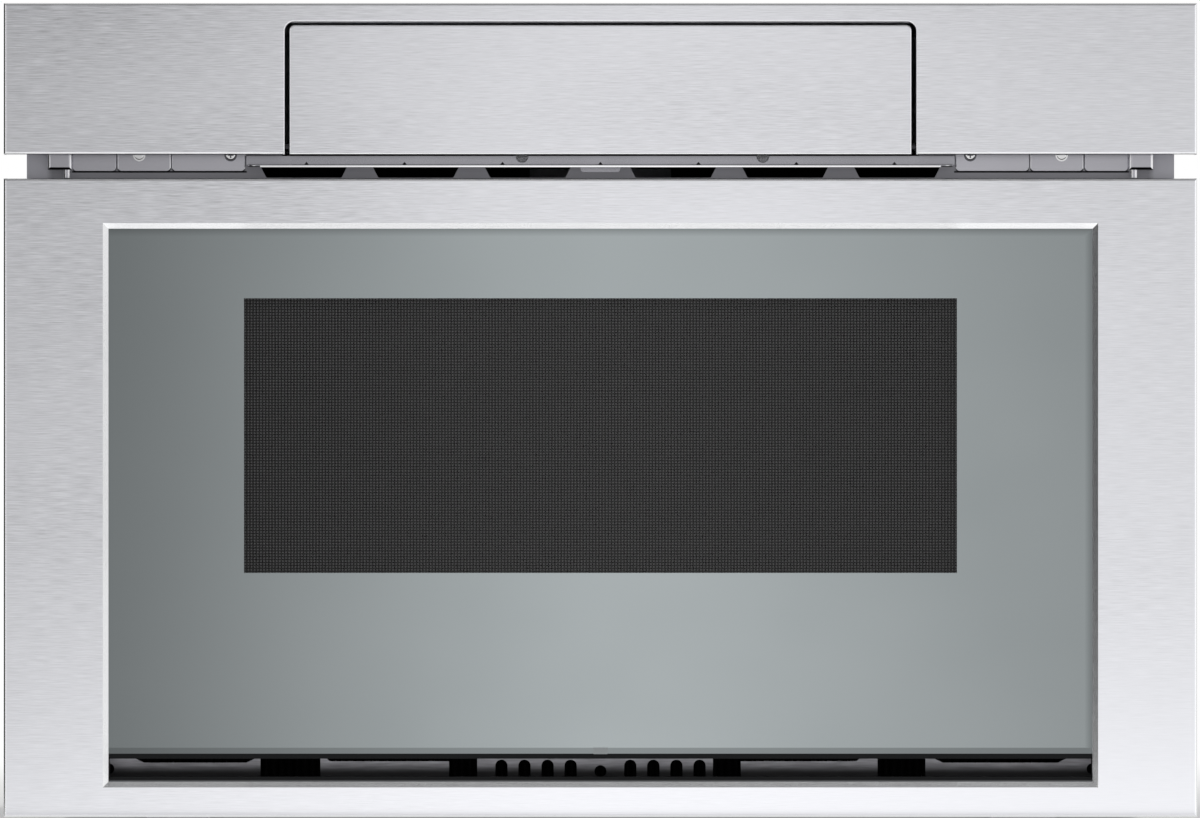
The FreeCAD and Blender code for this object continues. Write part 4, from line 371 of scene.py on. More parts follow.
def satin_steel(name, colour, roughness, edge=(0.95, 0.95, 0.96), ends=None, dark=()):
    """Plain cold-rolled sheet: satin faces with faint rolling lines, a painted highlight on pressed edges,
    painted shade on undersides.

    ends is (distance from the middle, factor) beyond which the sheet is painted lighter towards its sides,
    as painted light.
    dark holds bands of painted shadow, each as (low, high) of |x| and (low, high) of z.
    """
    paint = Paint(name, Metallic=1.0)
    lines = paint.noise((50 * MM, 0.7 * MM, 0.7 * MM), detail=3.0)
    clouds = paint.noise(70 * MM, detail=2.0)
    tone = paint.blend(lines, shade(colour, 0.95), colour)
    tone = paint.blend(clouds, tone, shade(colour, 0.92), 0.4)
    # Painted light: lighter towards the sides.
    if ends:
        from_middle = paint.math("ABSOLUTE", paint.axes()[0])
        tone = paint.blend(from_middle, tone, shade(colour, ends[1]), low=ends[0], high=ends[0] + 4 * MM)
    # Painted shadow bands.
    for across, upright in dark:
        band = paint.product(paint.between(0, across, 0.5 * MM), paint.between(2, upright, 0.3 * MM))
        tone = paint.mix(band, tone, (0.022, 0.022, 0.025))
    # Painted shade: faces turned downwards go near black.
    underside_shade = paint.span(paint.normal()[2], -0.45, -0.10, 1.0, 0.0)
    # Painted highlight: edge is the colour given to the rounded edges.
    fold = paint.folds()
    paint.set("Base Color", paint.mix(underside_shade, paint.mix(fold, tone, edge), (0.03, 0.03, 0.033)))
    rough = paint.span(clouds, NOISE_LOW, NOISE_HIGH, roughness, roughness + 0.06)
    paint.fold_roughness(rough, fold, roughness)
    paint.bump(lines, 0.02 * MM, 0.3)
    return paint.material


def chrome(name, flange_y):
    """Bright plating on screw heads, with painted shade on the flange behind flange_y and on undersides."""
    paint = Paint(name, Metallic=1.0)
    haze = paint.noise(3 * MM, detail=3.0)
    face = paint.blend(haze, (0.86, 0.86, 0.87), (0.95, 0.95, 0.96))
    # Painted shade: the flange behind flange_y is near black.
    face = paint.blend(paint.axes()[1], face, (0.10, 0.10, 0.11), low=flange_y, high=flange_y + 0.1 * MM)
    # Painted shade on faces turned downwards.
    underside_shade = paint.span(paint.normal()[2], -0.5, -0.2, 1.0, 0.0)
    paint.set("Base Color", paint.mix(underside_shade, face, (0.01, 0.01, 0.011)))
    paint.roughness(haze, 0.05, 0.11)
    paint.bump(haze, 0.01 * MM, 0.3)
    return paint.material


def bright_steel(name, colour, roughness):
    """Bright zinc on drawn sections, with fine marks along Y and a thin film of grease."""
    paint = Paint(name, Metallic=1.0)
    drawn = paint.noise((0.8 * MM, 120 * MM, 0.8 * MM), detail=4.0, rough=0.6)
    film = paint.noise(30 * MM, detail=4.0, rough=0.6, distortion=0.5)
    tone = paint.blend(drawn, shade(colour, 0.86), colour)
    paint.set("Base Color", paint.blend(film, tone, shade(colour, 0.8), 0.4, low=0.5))
    paint.roughness(film, roughness, roughness + 0.14)
    paint.bump(drawn, 0.03 * MM, 0.4)
    return paint.material


def grille_steel():
    """Dark coated steel behind the air slot, painted lighter towards its upper edge as painted light."""
    paint = Paint("grille_steel", Metallic=0.5)
    # Painted light: lighter towards the upper edge, where light falls in through the slot.
    rise = paint.span(paint.axes()[2], *GRILLE_RISE, 0.0, 1.0, smooth=True)
    tone = paint.mix(rise, (0.006, 0.006, 0.007), GRILLE_LIT_TOP)
    marks = paint.noise((14 * MM, 1.2 * MM, 1.2 * MM), detail=4.0)
    paint.set("Base Color", paint.blend(marks, tone, (0.02, 0.02, 0.024), 0.3))
    paint.roughness(marks, 0.40, 0.55)
    paint.bump(marks, 0.03 * MM, 0.4)
    return paint.material


def enamel(name, colour):
    """Grey cavity paint: fine dark and light specks and a slight orange peel."""
    paint = Paint(name, Coat_Weight=0.25, Coat_Roughness=0.18)
    specks = paint.cells(1.6 * MM, output="Distance")
    mottling = paint.noise(0.25 * MM, detail=2.0)
    clouds = paint.noise(60 * MM, detail=2.0)
    tone = paint.mix(paint.span(specks, 0.05, 0.22, 0.6, 0.0), colour, shade(colour, 0.55))
    tone = paint.blend(mottling, tone, shade(colour, 1.3), 0.5, low=0.58, high=0.72)
    paint.set("Base Color", paint.blend(clouds, tone, shade(colour, 0.88), 0.25))
    paint.roughness(clouds, 0.32, 0.42)
    paint.bump(paint.noise(1.4 * MM, detail=1.0), 0.05 * MM, 0.35)
    return paint.material


def moulded(name, colour, roughness):
    """Moulded plastic with an eroded grain and a little handling shine."""
    paint = Paint(name, Specular_IOR_Level=0.3)
    erosion = paint.noise(0.45 * MM, detail=2.0, rough=0.6)
    shine = paint.noise(45 * MM, detail=3.0, rough=0.6)
    tone = paint.blend(erosion, shade(colour, 0.82), colour)
    paint.set("Base Color", paint.blend(shine, tone, shade(colour, 1.25), 0.35, low=0.45, high=0.75))
    paint.roughness(shine, roughness + 0.05, roughness - 0.05, low=0.35)
    paint.bump(erosion, 0.06 * MM, 0.5)
    return paint.material


def bezel_black():
    """Black bezel of the air slot: dark and even, with a paler band along the lip at its foot."""
    paint = Paint("bezel_black", Specular_IOR_Level=0.1)
    grain = paint.noise(0.5 * MM, detail=2.0)
    wear = paint.noise((20 * MM, 2 * MM, 2 * MM), detail=3.0)
    body = paint.blend(grain, (0.004, 0.0045, 0.005), (0.007, 0.0075, 0.008))
    lip = paint.span(paint.axes()[2], *bezel_lip, 1.0, 0.0, smooth=True)
    paint.set("Base Color", paint.mix(lip, body, (0.16, 0.165, 0.17)))
    paint.roughness(wear, 0.30, 0.40)
    paint.bump(grain, 0.03 * MM, 0.4)
    return paint.material


def filter_shade_black():
    """Pleated filter behind the air slot: near black as painted shade for the dark openings, with matt
    fibres.
    """
    paint = Paint("filter_shade_black", Specular_IOR_Level=0.05, Roughness=0.95)
    fibres = paint.noise((1.2 * MM, 1.2 * MM, 0.25 * MM), detail=4.0, rough=0.7)
    paint.set("Base Color", paint.blend(fibres, (0.002, 0.002, 0.002), (0.007, 0.007, 0.008)))
    paint.bump(fibres, 0.15 * MM, 0.6)
    return paint.material


def inside_rect(paint, half, z_span, soft):
    """1 inside the upright rectangle, 0 outside, with an edge of soft metres."""
    x, _, z = paint.axes()
    across = paint.span(paint.math("ABSOLUTE", x), half - soft, half + soft, 1.0, 0.0)
    above = paint.span(z, z_span[0] - soft, z_span[0] + soft, 0.0, 1.0)
    below = paint.span(z, z_span[1] - soft, z_span[1] + soft, 1.0, 0.0)
    return paint.product(across, paint.product(above, below))


def door_mirror():
    """The drawer's glass: a grey mirror coating all over but for the grey see-through window, with painted
    shade to the left and along its edges.
    """
    paint = Paint("mirror_glass", IOR=1.5)
    window = inside_rect(paint, window_half, window_z, 0.15 * MM)
    x, _, z = paint.axes()
    wash = paint.noise((180 * MM, 180 * MM, 120 * MM), detail=2.0)
    wipe = paint.noise((26 * MM, 26 * MM, 3.5 * MM), detail=4.0, rough=0.65, distortion=0.4)
    coat = paint.blend(wash, MIRROR_LOW, MIRROR_HIGH)
    # Painted shade: darker towards the left.
    coat = paint.mix(paint.span(x, -glass_high.x, 0.0, 0.5, 0.0), coat, shade(MIRROR_LOW, MIRROR_LEFT_SHADE))
    # Painted shadow of the frame along the right, top and foot edges.
    visible_half = glass_high.x - GLASS_LAP
    visible_top = glass_high.z - GLASS_LAP
    right = paint.span(x, visible_half - GLASS_SHADOW_BAND, visible_half, 0.0, 1.0)
    top = paint.span(z, visible_top - GLASS_SHADOW_BAND, visible_top, 0.0, 1.0)
    foot = paint.span(z, glass_low.z + GLASS_FOOT_SHADOW[0], glass_low.z + GLASS_FOOT_SHADOW[1], 1.0, 0.0)
    band = paint.larger(paint.larger(right, top), foot)
    coat = paint.mix(paint.product(band, 0.8), coat, shade(MIRROR_LOW, MIRROR_EDGE_SHADE))
    paint.set("Base Color", paint.mix(window, coat, (0.004, 0.004, 0.004)))
    paint.set("Metallic", paint.span(window, 0.0, 1.0, 1.0, 0.0))
    paint.set("Alpha", paint.span(window, 0.0, 1.0, 1.0, WINDOW_TINT))
    paint.roughness(wipe, 0.045, 0.085, low=0.45, high=0.75)
    paint.bump(paint.noise((90 * MM, 90 * MM, 60 * MM), detail=1.0), 0.02 * MM, 0.15)
    return paint.material


def perforated_screen():
    """Black sheet with rows of small round holes, painted lighter than the sheet as the lit inside seen
    through them.
    """
    paint = Paint("perforated_screen", Roughness=0.45, Specular_IOR_Level=0.12)
    x, _, z = paint.axes()
    squares = []
    for place, pitch in ((x, SCREEN_PITCH_X), (z, SCREEN_PITCH_Z)):
        off_hole = paint.math("WRAP", paint.math("DIVIDE", place, pitch), 0.5, -0.5)
        squares.append(paint.math("POWER", paint.product(off_hole, pitch / SCREEN_DOT), 2.0))
    distance = paint.math("SQRT", paint.math("ADD", *squares))
    hole = paint.span(distance, 0.75, 1.0, 1.0, 0.0)
    # Painted light: the holes' pale colour stands in for the lit inside.
    light = paint.mix(paint.noise(90 * MM, detail=2.0), (0.25, 0.25, 0.255), (0.31, 0.31, 0.315))
    paint.set("Base Color", paint.mix(hole, (0.010, 0.010, 0.011), light))
    paint.bump(hole, -0.2 * MM, 0.5)
    return paint.material


def clear_sheet(name, colour, roughness):
    """Clear glass with a thin film of touch and steam."""
    paint = Paint(name, IOR=1.5, Transmission_Weight=1.0, Base_Color=colour)
    film = paint.noise(40 * MM, detail=3.0)
    paint.roughness(film, roughness, roughness + 0.06, low=0.4, high=0.75)
    paint.bump(paint.noise(50 * MM, detail=1.0), 0.02 * MM, 0.1)
    return paint.material


def soft_clear(name):
    """Clear elastomer of the bumpers: see-through in the middle, bright and cloudy towards the rim."""
    paint = Paint(name, IOR=1.45, Coat_Weight=0.5, Coat_Roughness=0.06)
    haze = paint.noise(2.5 * MM, detail=3.0)
    paint.set("Base Color", paint.blend(haze, (0.70, 0.70, 0.73), (0.55, 0.55, 0.58), low=0.35))
    rim = paint.node("ShaderNodeLayerWeight")
    rim.inputs["Blend"].default_value = 0.35
    paint.set("Alpha", paint.span(rim.outputs["Facing"], 0.05, 0.6, 0.25, 0.95))
    paint.roughness(haze, 0.08, 0.22)
    paint.bump(haze, 0.05 * MM, 0.3)
    return paint.material


def black_glass():
    """Printed black glass of the control panel, with faint touch marks."""
    paint = Paint("black_glass", Coat_Weight=0.6, Coat_Roughness=0.03, IOR=1.5)
    marks = paint.noise(18 * MM, detail=4.0, rough=0.65, distortion=1.2)
    paint.set("Base Color", paint.blend(marks, (0.008, 0.008, 0.010), (0.018, 0.018, 0.020), low=0.4))
    paint.roughness(marks, 0.05, 0.16, low=0.45)
    paint.bump(paint.noise(60 * MM, detail=1.0), 0.02 * MM, 0.1)
    return paint.material


def glass_ceramic():
    """Off-white glass ceramic of the drawer's floor, slightly cloudy, with fine specks."""
    paint = Paint(
        "glass_ceramic",
        Coat_Weight=0.5,
        Coat_Roughness=0.08,
        Subsurface_Weight=0.08,
        Subsurface_Scale=0.004,
    )
    clouds = paint.noise(35 * MM, detail=3.0)
    specks = paint.noise(0.5 * MM, detail=2.0)
    tone = paint.blend(clouds, (0.74, 0.73, 0.70), (0.80, 0.79, 0.765))
    paint.set("Base Color", paint.blend(specks, tone, (0.62, 0.61, 0.59), 0.4, low=0.62, high=0.75))
    paint.roughness(clouds, 0.16, 0.26)
    paint.bump(paint.noise(3.0 * MM, detail=2.0), 0.04 * MM, 0.25)
    return paint.material


def banded(name, colour, dark, pitch, axis, metallic, roughness):
    """Windings or laminations: fine bands of the given pitch across one axis."""
    paint = Paint(name, Metallic=metallic)
    place = paint.math("DIVIDE", paint.axes()[axis], pitch)
    band = paint.span(paint.math("SINE", paint.product(place, 2 * math.pi)), -0.6, 0.6, 0.0, 1.0)
    stain = paint.noise(9 * MM, detail=4.0)
    paint.set("Base Color", paint.blend(stain, paint.mix(band, dark, colour), dark, 0.5, low=0.45))
    paint.roughness(stain, roughness - 0.05, roughness + 0.1)
    paint.bump(band, 0.2 * MM, 0.6)
    return paint.material


def board_green():
    """Circuit board: solder mask over a net of tracks, with bright pads."""
    paint = Paint("board_green", Coat_Weight=0.3, Coat_Roughness=0.2)
    track = paint.span(
        paint.cells(7 * MM, feature="DISTANCE_TO_EDGE", output="Distance"), 0.04, 0.07, 1.0, 0.0
    )
    pads = paint.cells(3.2 * MM, output="Distance")
    tone = paint.mix(track, (0.012, 0.085, 0.040), (0.030, 0.16, 0.075))
    paint.set("Base Color", paint.mix(paint.span(pads, 0.10, 0.14, 1.0, 0.0), tone, (0.62, 0.60, 0.55)))
    paint.roughness(pads, 0.22, 0.42, low=0.10, high=0.14)
    paint.bump(track, 0.05 * MM, 0.5)
    return paint.material


def printed(name, colour, glow):
    """Ink on the control glass: an even layer with a fine print grain."""
    paint = Paint(name, Roughness=0.45, Emission_Color=colour, Emission_Strength=glow)
    dots = paint.noise(0.15 * MM, detail=1.0)
    paint.set("Base Color", paint.blend(dots, colour, shade(colour, 0.8), 0.3))
    return paint.material


finish_of_slot = {
    "stainless": brushed_steel("stainless", (0.955, 0.96, 1.0), 0.36, 0.41),
    "zinc_steel": zinc_sheet("zinc_sheet", (0.60, 0.60, 0.63), 0.42),
    "dark_steel": grille_steel(),
    "slide_steel": bright_steel("bright_zinc", (0.70, 0.70, 0.72), 0.24),
    "cavity_enamel": enamel("cavity_enamel", (0.52, 0.515, 0.50)),
    "mirror_glass": door_mirror(),
    "screen_black": perforated_screen(),
    "clear_glass": clear_sheet("clear_glass", (0.93, 0.95, 0.95), 0.01),
    "black_glass": black_glass(),
    "black_plastic": moulded("black_plastic", (0.008, 0.008, 0.009), 0.5),
    "white_plastic": moulded("white_plastic", (0.66, 0.66, 0.63), 0.42),
    "clear_rubber": soft_clear("clear_rubber"),
    "ceramic": glass_ceramic(),
    "gear_plastic": moulded("acetal", (0.74, 0.72, 0.67), 0.36),
    "motor_metal": bright_steel("plated_case", (0.50, 0.50, 0.51), 0.34),
    "bright_aluminium": bright_steel("bright_aluminium", (0.80, 0.80, 0.81), 0.26),
    "copper_coil": banded("copper_coil", (0.52, 0.20, 0.09), (0.20, 0.06, 0.03), 1.1 * MM, 2, 0.8, 0.34),
    "circuit_board": board_green(),
}
laminations = banded("laminations", (0.20, 0.20, 0.21), (0.07, 0.065, 0.06), 0.9 * MM, 1, 0.7, 0.45)
# Copies of one satin sheet steel that differ in level as painted light and shade for their depth in the
# shadow gap; the front plate, shelf, deflector and tab are darker copies, as painted shade.
mounting_satin = satin_steel("mounting_satin", (0.52, 0.515, 0.555), 0.20)
plate_satin_shaded = satin_steel(
    "plate_satin_shaded",
    (0.285, 0.283, 0.308),
    0.34,
    ends=(PLATES_END, PLATES_END_LIGHT),
    dark=(plate_shadow_band, shelf_shade_band),
)
special_finish = {
    "transformer_core": laminations,
    "cavity_shell": enamel("cavity_paint", (0.46, 0.455, 0.44)),
    "front_plate": plate_satin_shaded,
    "fascia_plates": mounting_satin,
    "fascia_blocks": mounting_satin,
    "vent_bezel": bezel_black(),
    "glass_tab": satin_steel("tab_satin_shaded", (0.25, 0.265, 0.27), 0.30, edge=(0.32, 0.335, 0.34)),
    "console_hinge_pins": satin_steel("black_oxide", (0.05, 0.05, 0.055), 0.42, edge=(0.08, 0.08, 0.085)),
    "console_shelf": satin_steel("shelf_satin_shaded", (0.41, 0.407, 0.44), 0.22),
    "steam_deflector": satin_steel("deflector_satin_shaded", (0.375, 0.372, 0.403), 0.20),
    "fascia_screws": chrome("chrome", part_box("fascia_screws")[0].y + SCREW_FLANGE_DROP),
}

for part in frame["record"]["subparts"]:
    materials = nodes[part["node"]].data.materials
    materials.clear()
    materials.append(special_finish.get(part["node"], finish_of_slot[part["material_slot"]]))

# ---------------------------------------------------------------- small edge radii on CAD pieces
EDGE_WIDTHS = {
    "ceramic_floor": 1.2 * MM,
    "control_glass": 0.4 * MM,
    "glass_tab": 0.25 * MM,
    "steam_deflector": 0.25 * MM,
    "console_shelf": 0.2 * MM,
    "choke_ring": 0.3 * MM,
    "intake_grille": 0.25 * MM,
}

for name, width in EDGE_WIDTHS.items():
    bevel = nodes[name].modifiers.new("edge", "BEVEL")
    bevel.width = width
    bevel.segments = 2
    bevel.limit_method = "ANGLE"
    bevel.angle_limit = math.radians(50)
    bevel.harden_normals = True


# ---------------------------------------------------------------- pieces of the scene, helpers
def add_piece(name, form, body, material, smooth=False):
    """A new object from a bmesh, with a finish, that moves with a body."""
    bmesh.ops.recalc_face_normals(form, faces=form.faces)
    mesh = bpy.data.meshes.new(name)
    form.to_mesh(mesh)
    form.free()
    for polygon in mesh.polygons:
        polygon.use_smooth = smooth
    mesh.materials.append(material)
    piece = bpy.data.objects.new(name, mesh)
    bpy.context.scene.collection.objects.link(piece)
    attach(piece, body)
    return piece


def loft(form, rings, closed=False):
    """Faces between rings of equal count, with ends capped, or the last ring joined to the first."""
    rows = [[form.verts.new(point) for point in ring] for ring in rings]
    count = len(rows[0])
    pairs = list(zip(rows, rows[1:]))
    if closed:
        pairs.append((rows[-1], rows[0]))
    for lower, upper in pairs:
        for index in range(count):
            after = (index + 1) % count
            form.faces.new((lower[index], lower[after], upper[after], upper[index]))
    if not closed:
        form.faces.new(rows[0])
        form.faces.new(rows[-1])


def polar(radius, angle):
    return (radius * math.cos(angle), radius * math.sin(angle))


def circle(radius, count):
    return [polar(radius, 2 * math.pi * index / count) for index in range(count)]


def hexagon(apothem, count):
    """A hexagon as count points, so that it joins a circle of as many."""
    points = []
    for index in range(count):
        angle = 2 * math.pi * index / count
        off_flat = (angle + math.pi / 6) % (math.pi / 3) - math.pi / 6
        points.append(polar(apothem / math.cos(off_flat), angle))
    return points


def rectangle(half_width, half_height):
    return [
        (-half_width, -half_height),
        (half_width, -half_height),
        (half_width, half_height),
        (-half_width, half_height),
    ]


def stadium(half_length, half_width, arc_steps=8):
    """A bar with round ends; half_length reaches to the centres of the ends."""
    points = []
    for side in (1, -1):
        for step in range(arc_steps + 1):
            u, v = polar(half_width, math.radians(-90 + 180 * step / arc_steps))
            points.append((side * (half_length + u), side * v))
    return points


# ---------------------------------------------------------------- pressed beads on the case
BEAD_PROFILE = ((8.0, -0.2), (7.7, 0.3), (6.6, 1.1), (5.2, 1.7), (3.4, 2.0))  # half width and height, mm
TOP_BEADS = (-225 * MM, -75 * MM, 75 * MM, 225 * MM)
TOP_BEAD_HALF = 210 * MM
SIDE_BEADS = (250 * MM, 330 * MM, 410 * MM)
SIDE_BEAD_HALF = 200 * MM
SIDE_BEAD_MIDDLE = 20 * MM
REAR_BEADS = (330 * MM, 380 * MM, 430 * MM)
REAR_BEAD_HALF = 230 * MM


def pressed_bead(form, place, half_length):
    """A rounded stiffening bead; place(u, v, height) gives the point on the sheet."""
    reach = half_length - BEAD_PROFILE[0][0] * MM
    rings = []
    for half_width, height in BEAD_PROFILE:
        rings.append([place(u, v, height * MM) for u, v in stadium(reach, half_width * MM)])
    loft(form, rings)


def add_beads():
    form = bmesh.new()
    for x in TOP_BEADS:
        pressed_bead(form, lambda u, v, height: (x + v, u, case_high.z + height), TOP_BEAD_HALF)
    for side in (-1, 1):
        for z in SIDE_BEADS:
            pressed_bead(
                form,
                lambda u, v, height: (side * (case_high.x + height), u + SIDE_BEAD_MIDDLE, z + v),
                SIDE_BEAD_HALF,
            )
    for z in REAR_BEADS:
        pressed_bead(form, lambda u, v, height: (u, case_high.y + height, z + v), REAR_BEAD_HALF)
    add_piece("case_beads", form, "chassis", finish_of_slot["zinc_steel"], smooth=True)


# ---------------------------------------------------------------- screw heads of the case
SCREW_R = 4.0 * MM
SCREW_INSET = 8.0 * MM
SCREWS_PER_EDGE = 4
SCREW_POINTS = 24
SCREW_RINGS = (  # hexagon washer head with a dished crown: outline, radius and height in mm
    (circle, 4.0, 0.0),
    (circle, 4.0, 0.4),
    (circle, 3.7, 0.65),
    (hexagon, 2.75, 0.65),
    (hexagon, 2.75, 1.9),
    (hexagon, 2.45, 2.2),
    (circle, 1.9, 2.2),
    (circle, 1.5, 1.8),
)


def hex_screw(form, place):
    """Hex washer head; place(u, v, height) gives the point on the sheet."""
    rings = []
    for outline, size, height in SCREW_RINGS:
        rings.append([place(u, v, height * MM) for u, v in outline(size * MM, SCREW_POINTS)])
    loft(form, rings)


def add_case_screws():
    low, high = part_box("case_screws")
    rows = (low.z + SCREW_R, high.z - SCREW_R)
    first_y = low.y + SCREW_R
    last_y = case_high.y - 2 * SCREW_INSET
    last_x = case_high.x - 2 * SCREW_INSET
    form = bmesh.new()
    for index in range(SCREWS_PER_EDGE):
        share = index / (SCREWS_PER_EDGE - 1)
        y = first_y + share * (last_y - first_y)
        for side in (-1, 1):
            hex_screw(form, lambda u, v, height: (side * (case_high.x + height), y + u, rows[0] + v))
        x = last_x * (2 * share - 1)
        for z in rows:
            hex_screw(form, lambda u, v, height: (x + u, case_high.y + height, z + v))
    heads = add_piece("case_screw_heads", form, "chassis", finish_of_slot["slide_steel"])
    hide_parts("case_screws")


# ---------------------------------------------------------------- filter behind the intake grille, near black as painted shade
FILTER_HALF = 328 * MM
FILTER_PITCH = 5.0 * MM
FILTER_DEPTH = 5.0 * MM
FILTER_BACK = 1.5 * MM
FILTER_INSET = 2.0 * MM
FILTER_GAP = 0.3 * MM


def add_filter():
    """Pleated intake filter standing right behind the grille, near black as painted shade."""
    low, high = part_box("intake_grille")
    start = high.y + FILTER_GAP
    folds = round(2 * FILTER_HALF / FILTER_PITCH * 2)
    outline = []
    for index in range(folds + 1):
        outline.append((-FILTER_HALF + index * FILTER_PITCH / 2, start + (index % 2) * FILTER_DEPTH))
    back = start + FILTER_DEPTH + FILTER_BACK
    outline += [(FILTER_HALF, back), (-FILTER_HALF, back)]
    form = bmesh.new()
    loft(form, [[(x, y, z) for x, y in outline] for z in (low.z + FILTER_INSET, high.z - FILTER_INSET)])
    add_piece("intake_filter", form, "chassis", filter_shade_black())


# ---------------------------------------------------------------- nut of the cord gland
NUT_APOTHEM = 15.0 * MM
NUT_HEIGHT = 2.6 * MM
NUT_CHAMFER = 0.6 * MM
NUT_CLEARANCE = 0.1 * MM


def add_gland_nut():
    low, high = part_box("cord_gland")
    centre = (low + high) / 2
    inner = (high.x - low.x) / 2 + NUT_CLEARANCE
    rings = []
    for outline, size, height in (
        (circle, inner, 0.0),
        (circle, inner, NUT_HEIGHT),
        (hexagon, NUT_APOTHEM - NUT_CHAMFER, NUT_HEIGHT),
        (hexagon, NUT_APOTHEM, NUT_HEIGHT - NUT_CHAMFER),
        (hexagon, NUT_APOTHEM, 0.0),
    ):
        y = case_high.y + height
        rings.append([(centre.x + u, y, centre.z + v) for u, v in outline(size, SCREW_POINTS)])
    form = bmesh.new()
    loft(form, rings, closed=True)
    add_piece("gland_nut", form, "chassis", finish_of_slot["black_plastic"])


# ---------------------------------------------------------------- control glass: keys and display
CONTROL_GLASS_THICK = 3.5 * MM * 0.929  # along Z, on the slope
LEGEND_THICK = 0.12 * MM
KEY_RING_R = 8.2 * MM
KEY_RING_WIDTH = 0.35 * MM
KEY_RING_POINTS = 40
KEY_PITCH = 24 * MM
KEY_ROW = 11.5 * MM
KEYS_X = -10 * MM
KEY_TEXT = 9.0 * MM
SIGN = 3.0 * MM
SIGN_BAR = 0.5 * MM
ARROWS_X = -90 * MM
PLUS_X = 85 * MM
STOP_X = 121 * MM
START_X = 157 * MM
SIGNS = {  # key's place: outlines of its sign
    (PLUS_X, KEY_ROW): (rectangle(SIGN, SIGN_BAR), rectangle(SIGN_BAR, SIGN)),
    (PLUS_X, -KEY_ROW): (rectangle(SIGN, SIGN_BAR),),
    (STOP_X, 0.0): (rectangle(SIGN, SIGN),),
    (START_X, 0.0): ([(-0.8 * SIGN, -1.15 * SIGN), (1.2 * SIGN, 0), (-0.8 * SIGN, 1.15 * SIGN)],),
    (ARROWS_X, KEY_ROW): ([(-SIGN, -0.6 * SIGN), (SIGN, -0.6 * SIGN), (0, SIGN)],),
    (ARROWS_X, -KEY_ROW): ([(-SIGN, 0.6 * SIGN), (0, -SIGN), (SIGN, 0.6 * SIGN)],),
}
DISPLAY_X = -135 * MM
DIGIT_HEIGHT = 17 * MM
DIGIT_WIDTH = 9 * MM
DIGIT_PITCH = 14 * MM
SEGMENT_WIDTH = 1.9 * MM
SEGMENT_GAP = 0.25 * MM
COLON_GAP = 6 * MM
COLON_SHIFT = -1.0 * MM
COLON_R = 1.0 * MM
COLON_RISE = 3.2 * MM
LIT_SEGMENTS = {"0": "abcdef", "1": "bc", "2": "abged"}
SEGMENT_PLACES = {  # in half widths and half heights of the digit, and whether the segment lies level
    "a": (1, 1, True),
    "g": (1, 0, True),
    "d": (1, -1, True),
    "b": (2, 0.5, False),
    "c": (2, -0.5, False),
    "e": (0, -0.5, False),
    "f": (0, 0.5, False),
}


def slope_matrix():
    """From the control glass's own plane, x right and y towards the user's far side, to the model."""
    low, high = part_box("control_glass")
    slope = Vector((0.0, high.y - low.y, -(high.z - low.z - CONTROL_GLASS_THICK)))
    right = Vector((1.0, 0.0, 0.0))
    up = slope.normalized()
    middle = Vector((0.0, (low.y + high.y) / 2, high.z + slope.z / 2))
    matrix = Matrix.Identity(4)
    for column, axis in enumerate((right, up, right.cross(up), middle)):
        for row in range(3):
            matrix[row][column] = axis[row]
    return matrix


def flat_form(form, outline):
    """A thin printed shape with the given outline."""
    loft(form, [[(x, y, z) for x, y in outline] for z in (0.0, LEGEND_THICK)])


def key_ring(form, x, y):
    outer = circle(KEY_RING_R, KEY_RING_POINTS)
    inner = circle(KEY_RING_R - KEY_RING_WIDTH, KEY_RING_POINTS)
    rings = []
    for outline, height in ((inner, 0.0), (inner, LEGEND_THICK), (outer, LEGEND_THICK), (outer, 0.0)):
        rings.append([(x + u, y + v, height) for u, v in outline])
    loft(form, rings, closed=True)


def lettering(form, text, x, y):
    """Letters as thin solids, centred on x, y."""
    curve = bpy.data.curves.new("lettering", "FONT")
    curve.body = text
    curve.size = KEY_TEXT
    curve.extrude = LEGEND_THICK / 2
    curve.align_x = "CENTER"
    curve.align_y = "CENTER"
    holder = bpy.data.objects.new("lettering", curve)
    bpy.context.scene.collection.objects.link(holder)
    mesh = bpy.data.meshes.new_from_object(holder.evaluated_get(bpy.context.evaluated_depsgraph_get()))
    mesh.transform(Matrix.Translation((x, y, LEGEND_THICK / 2)))
    form.from_mesh(mesh)
    bpy.data.objects.remove(holder)
    bpy.data.meshes.remove(mesh)
    bpy.data.curves.remove(curve)


def lit_digit(form, digit, x):
    """A seven-segment digit whose left side is at x."""
    thick = SEGMENT_WIDTH / 2
    for key in LIT_SEGMENTS[digit]:
        across, rise, level = SEGMENT_PLACES[key]
        u = across * DIGIT_WIDTH / 2
        v = rise * DIGIT_HEIGHT / 2
        reach = (DIGIT_WIDTH / 2 if level else DIGIT_HEIGHT / 4) - SEGMENT_GAP
        shoulder = reach - thick
        outline = [
            (-reach, 0),
            (-shoulder, -thick),
            (shoulder, -thick),
            (reach, 0),
            (shoulder, thick),
            (-shoulder, thick),
        ]
        if not level:
            outline = [(-b, a) for a, b in outline]
        flat_form(form, [(x + u + a, v + b) for a, b in outline])


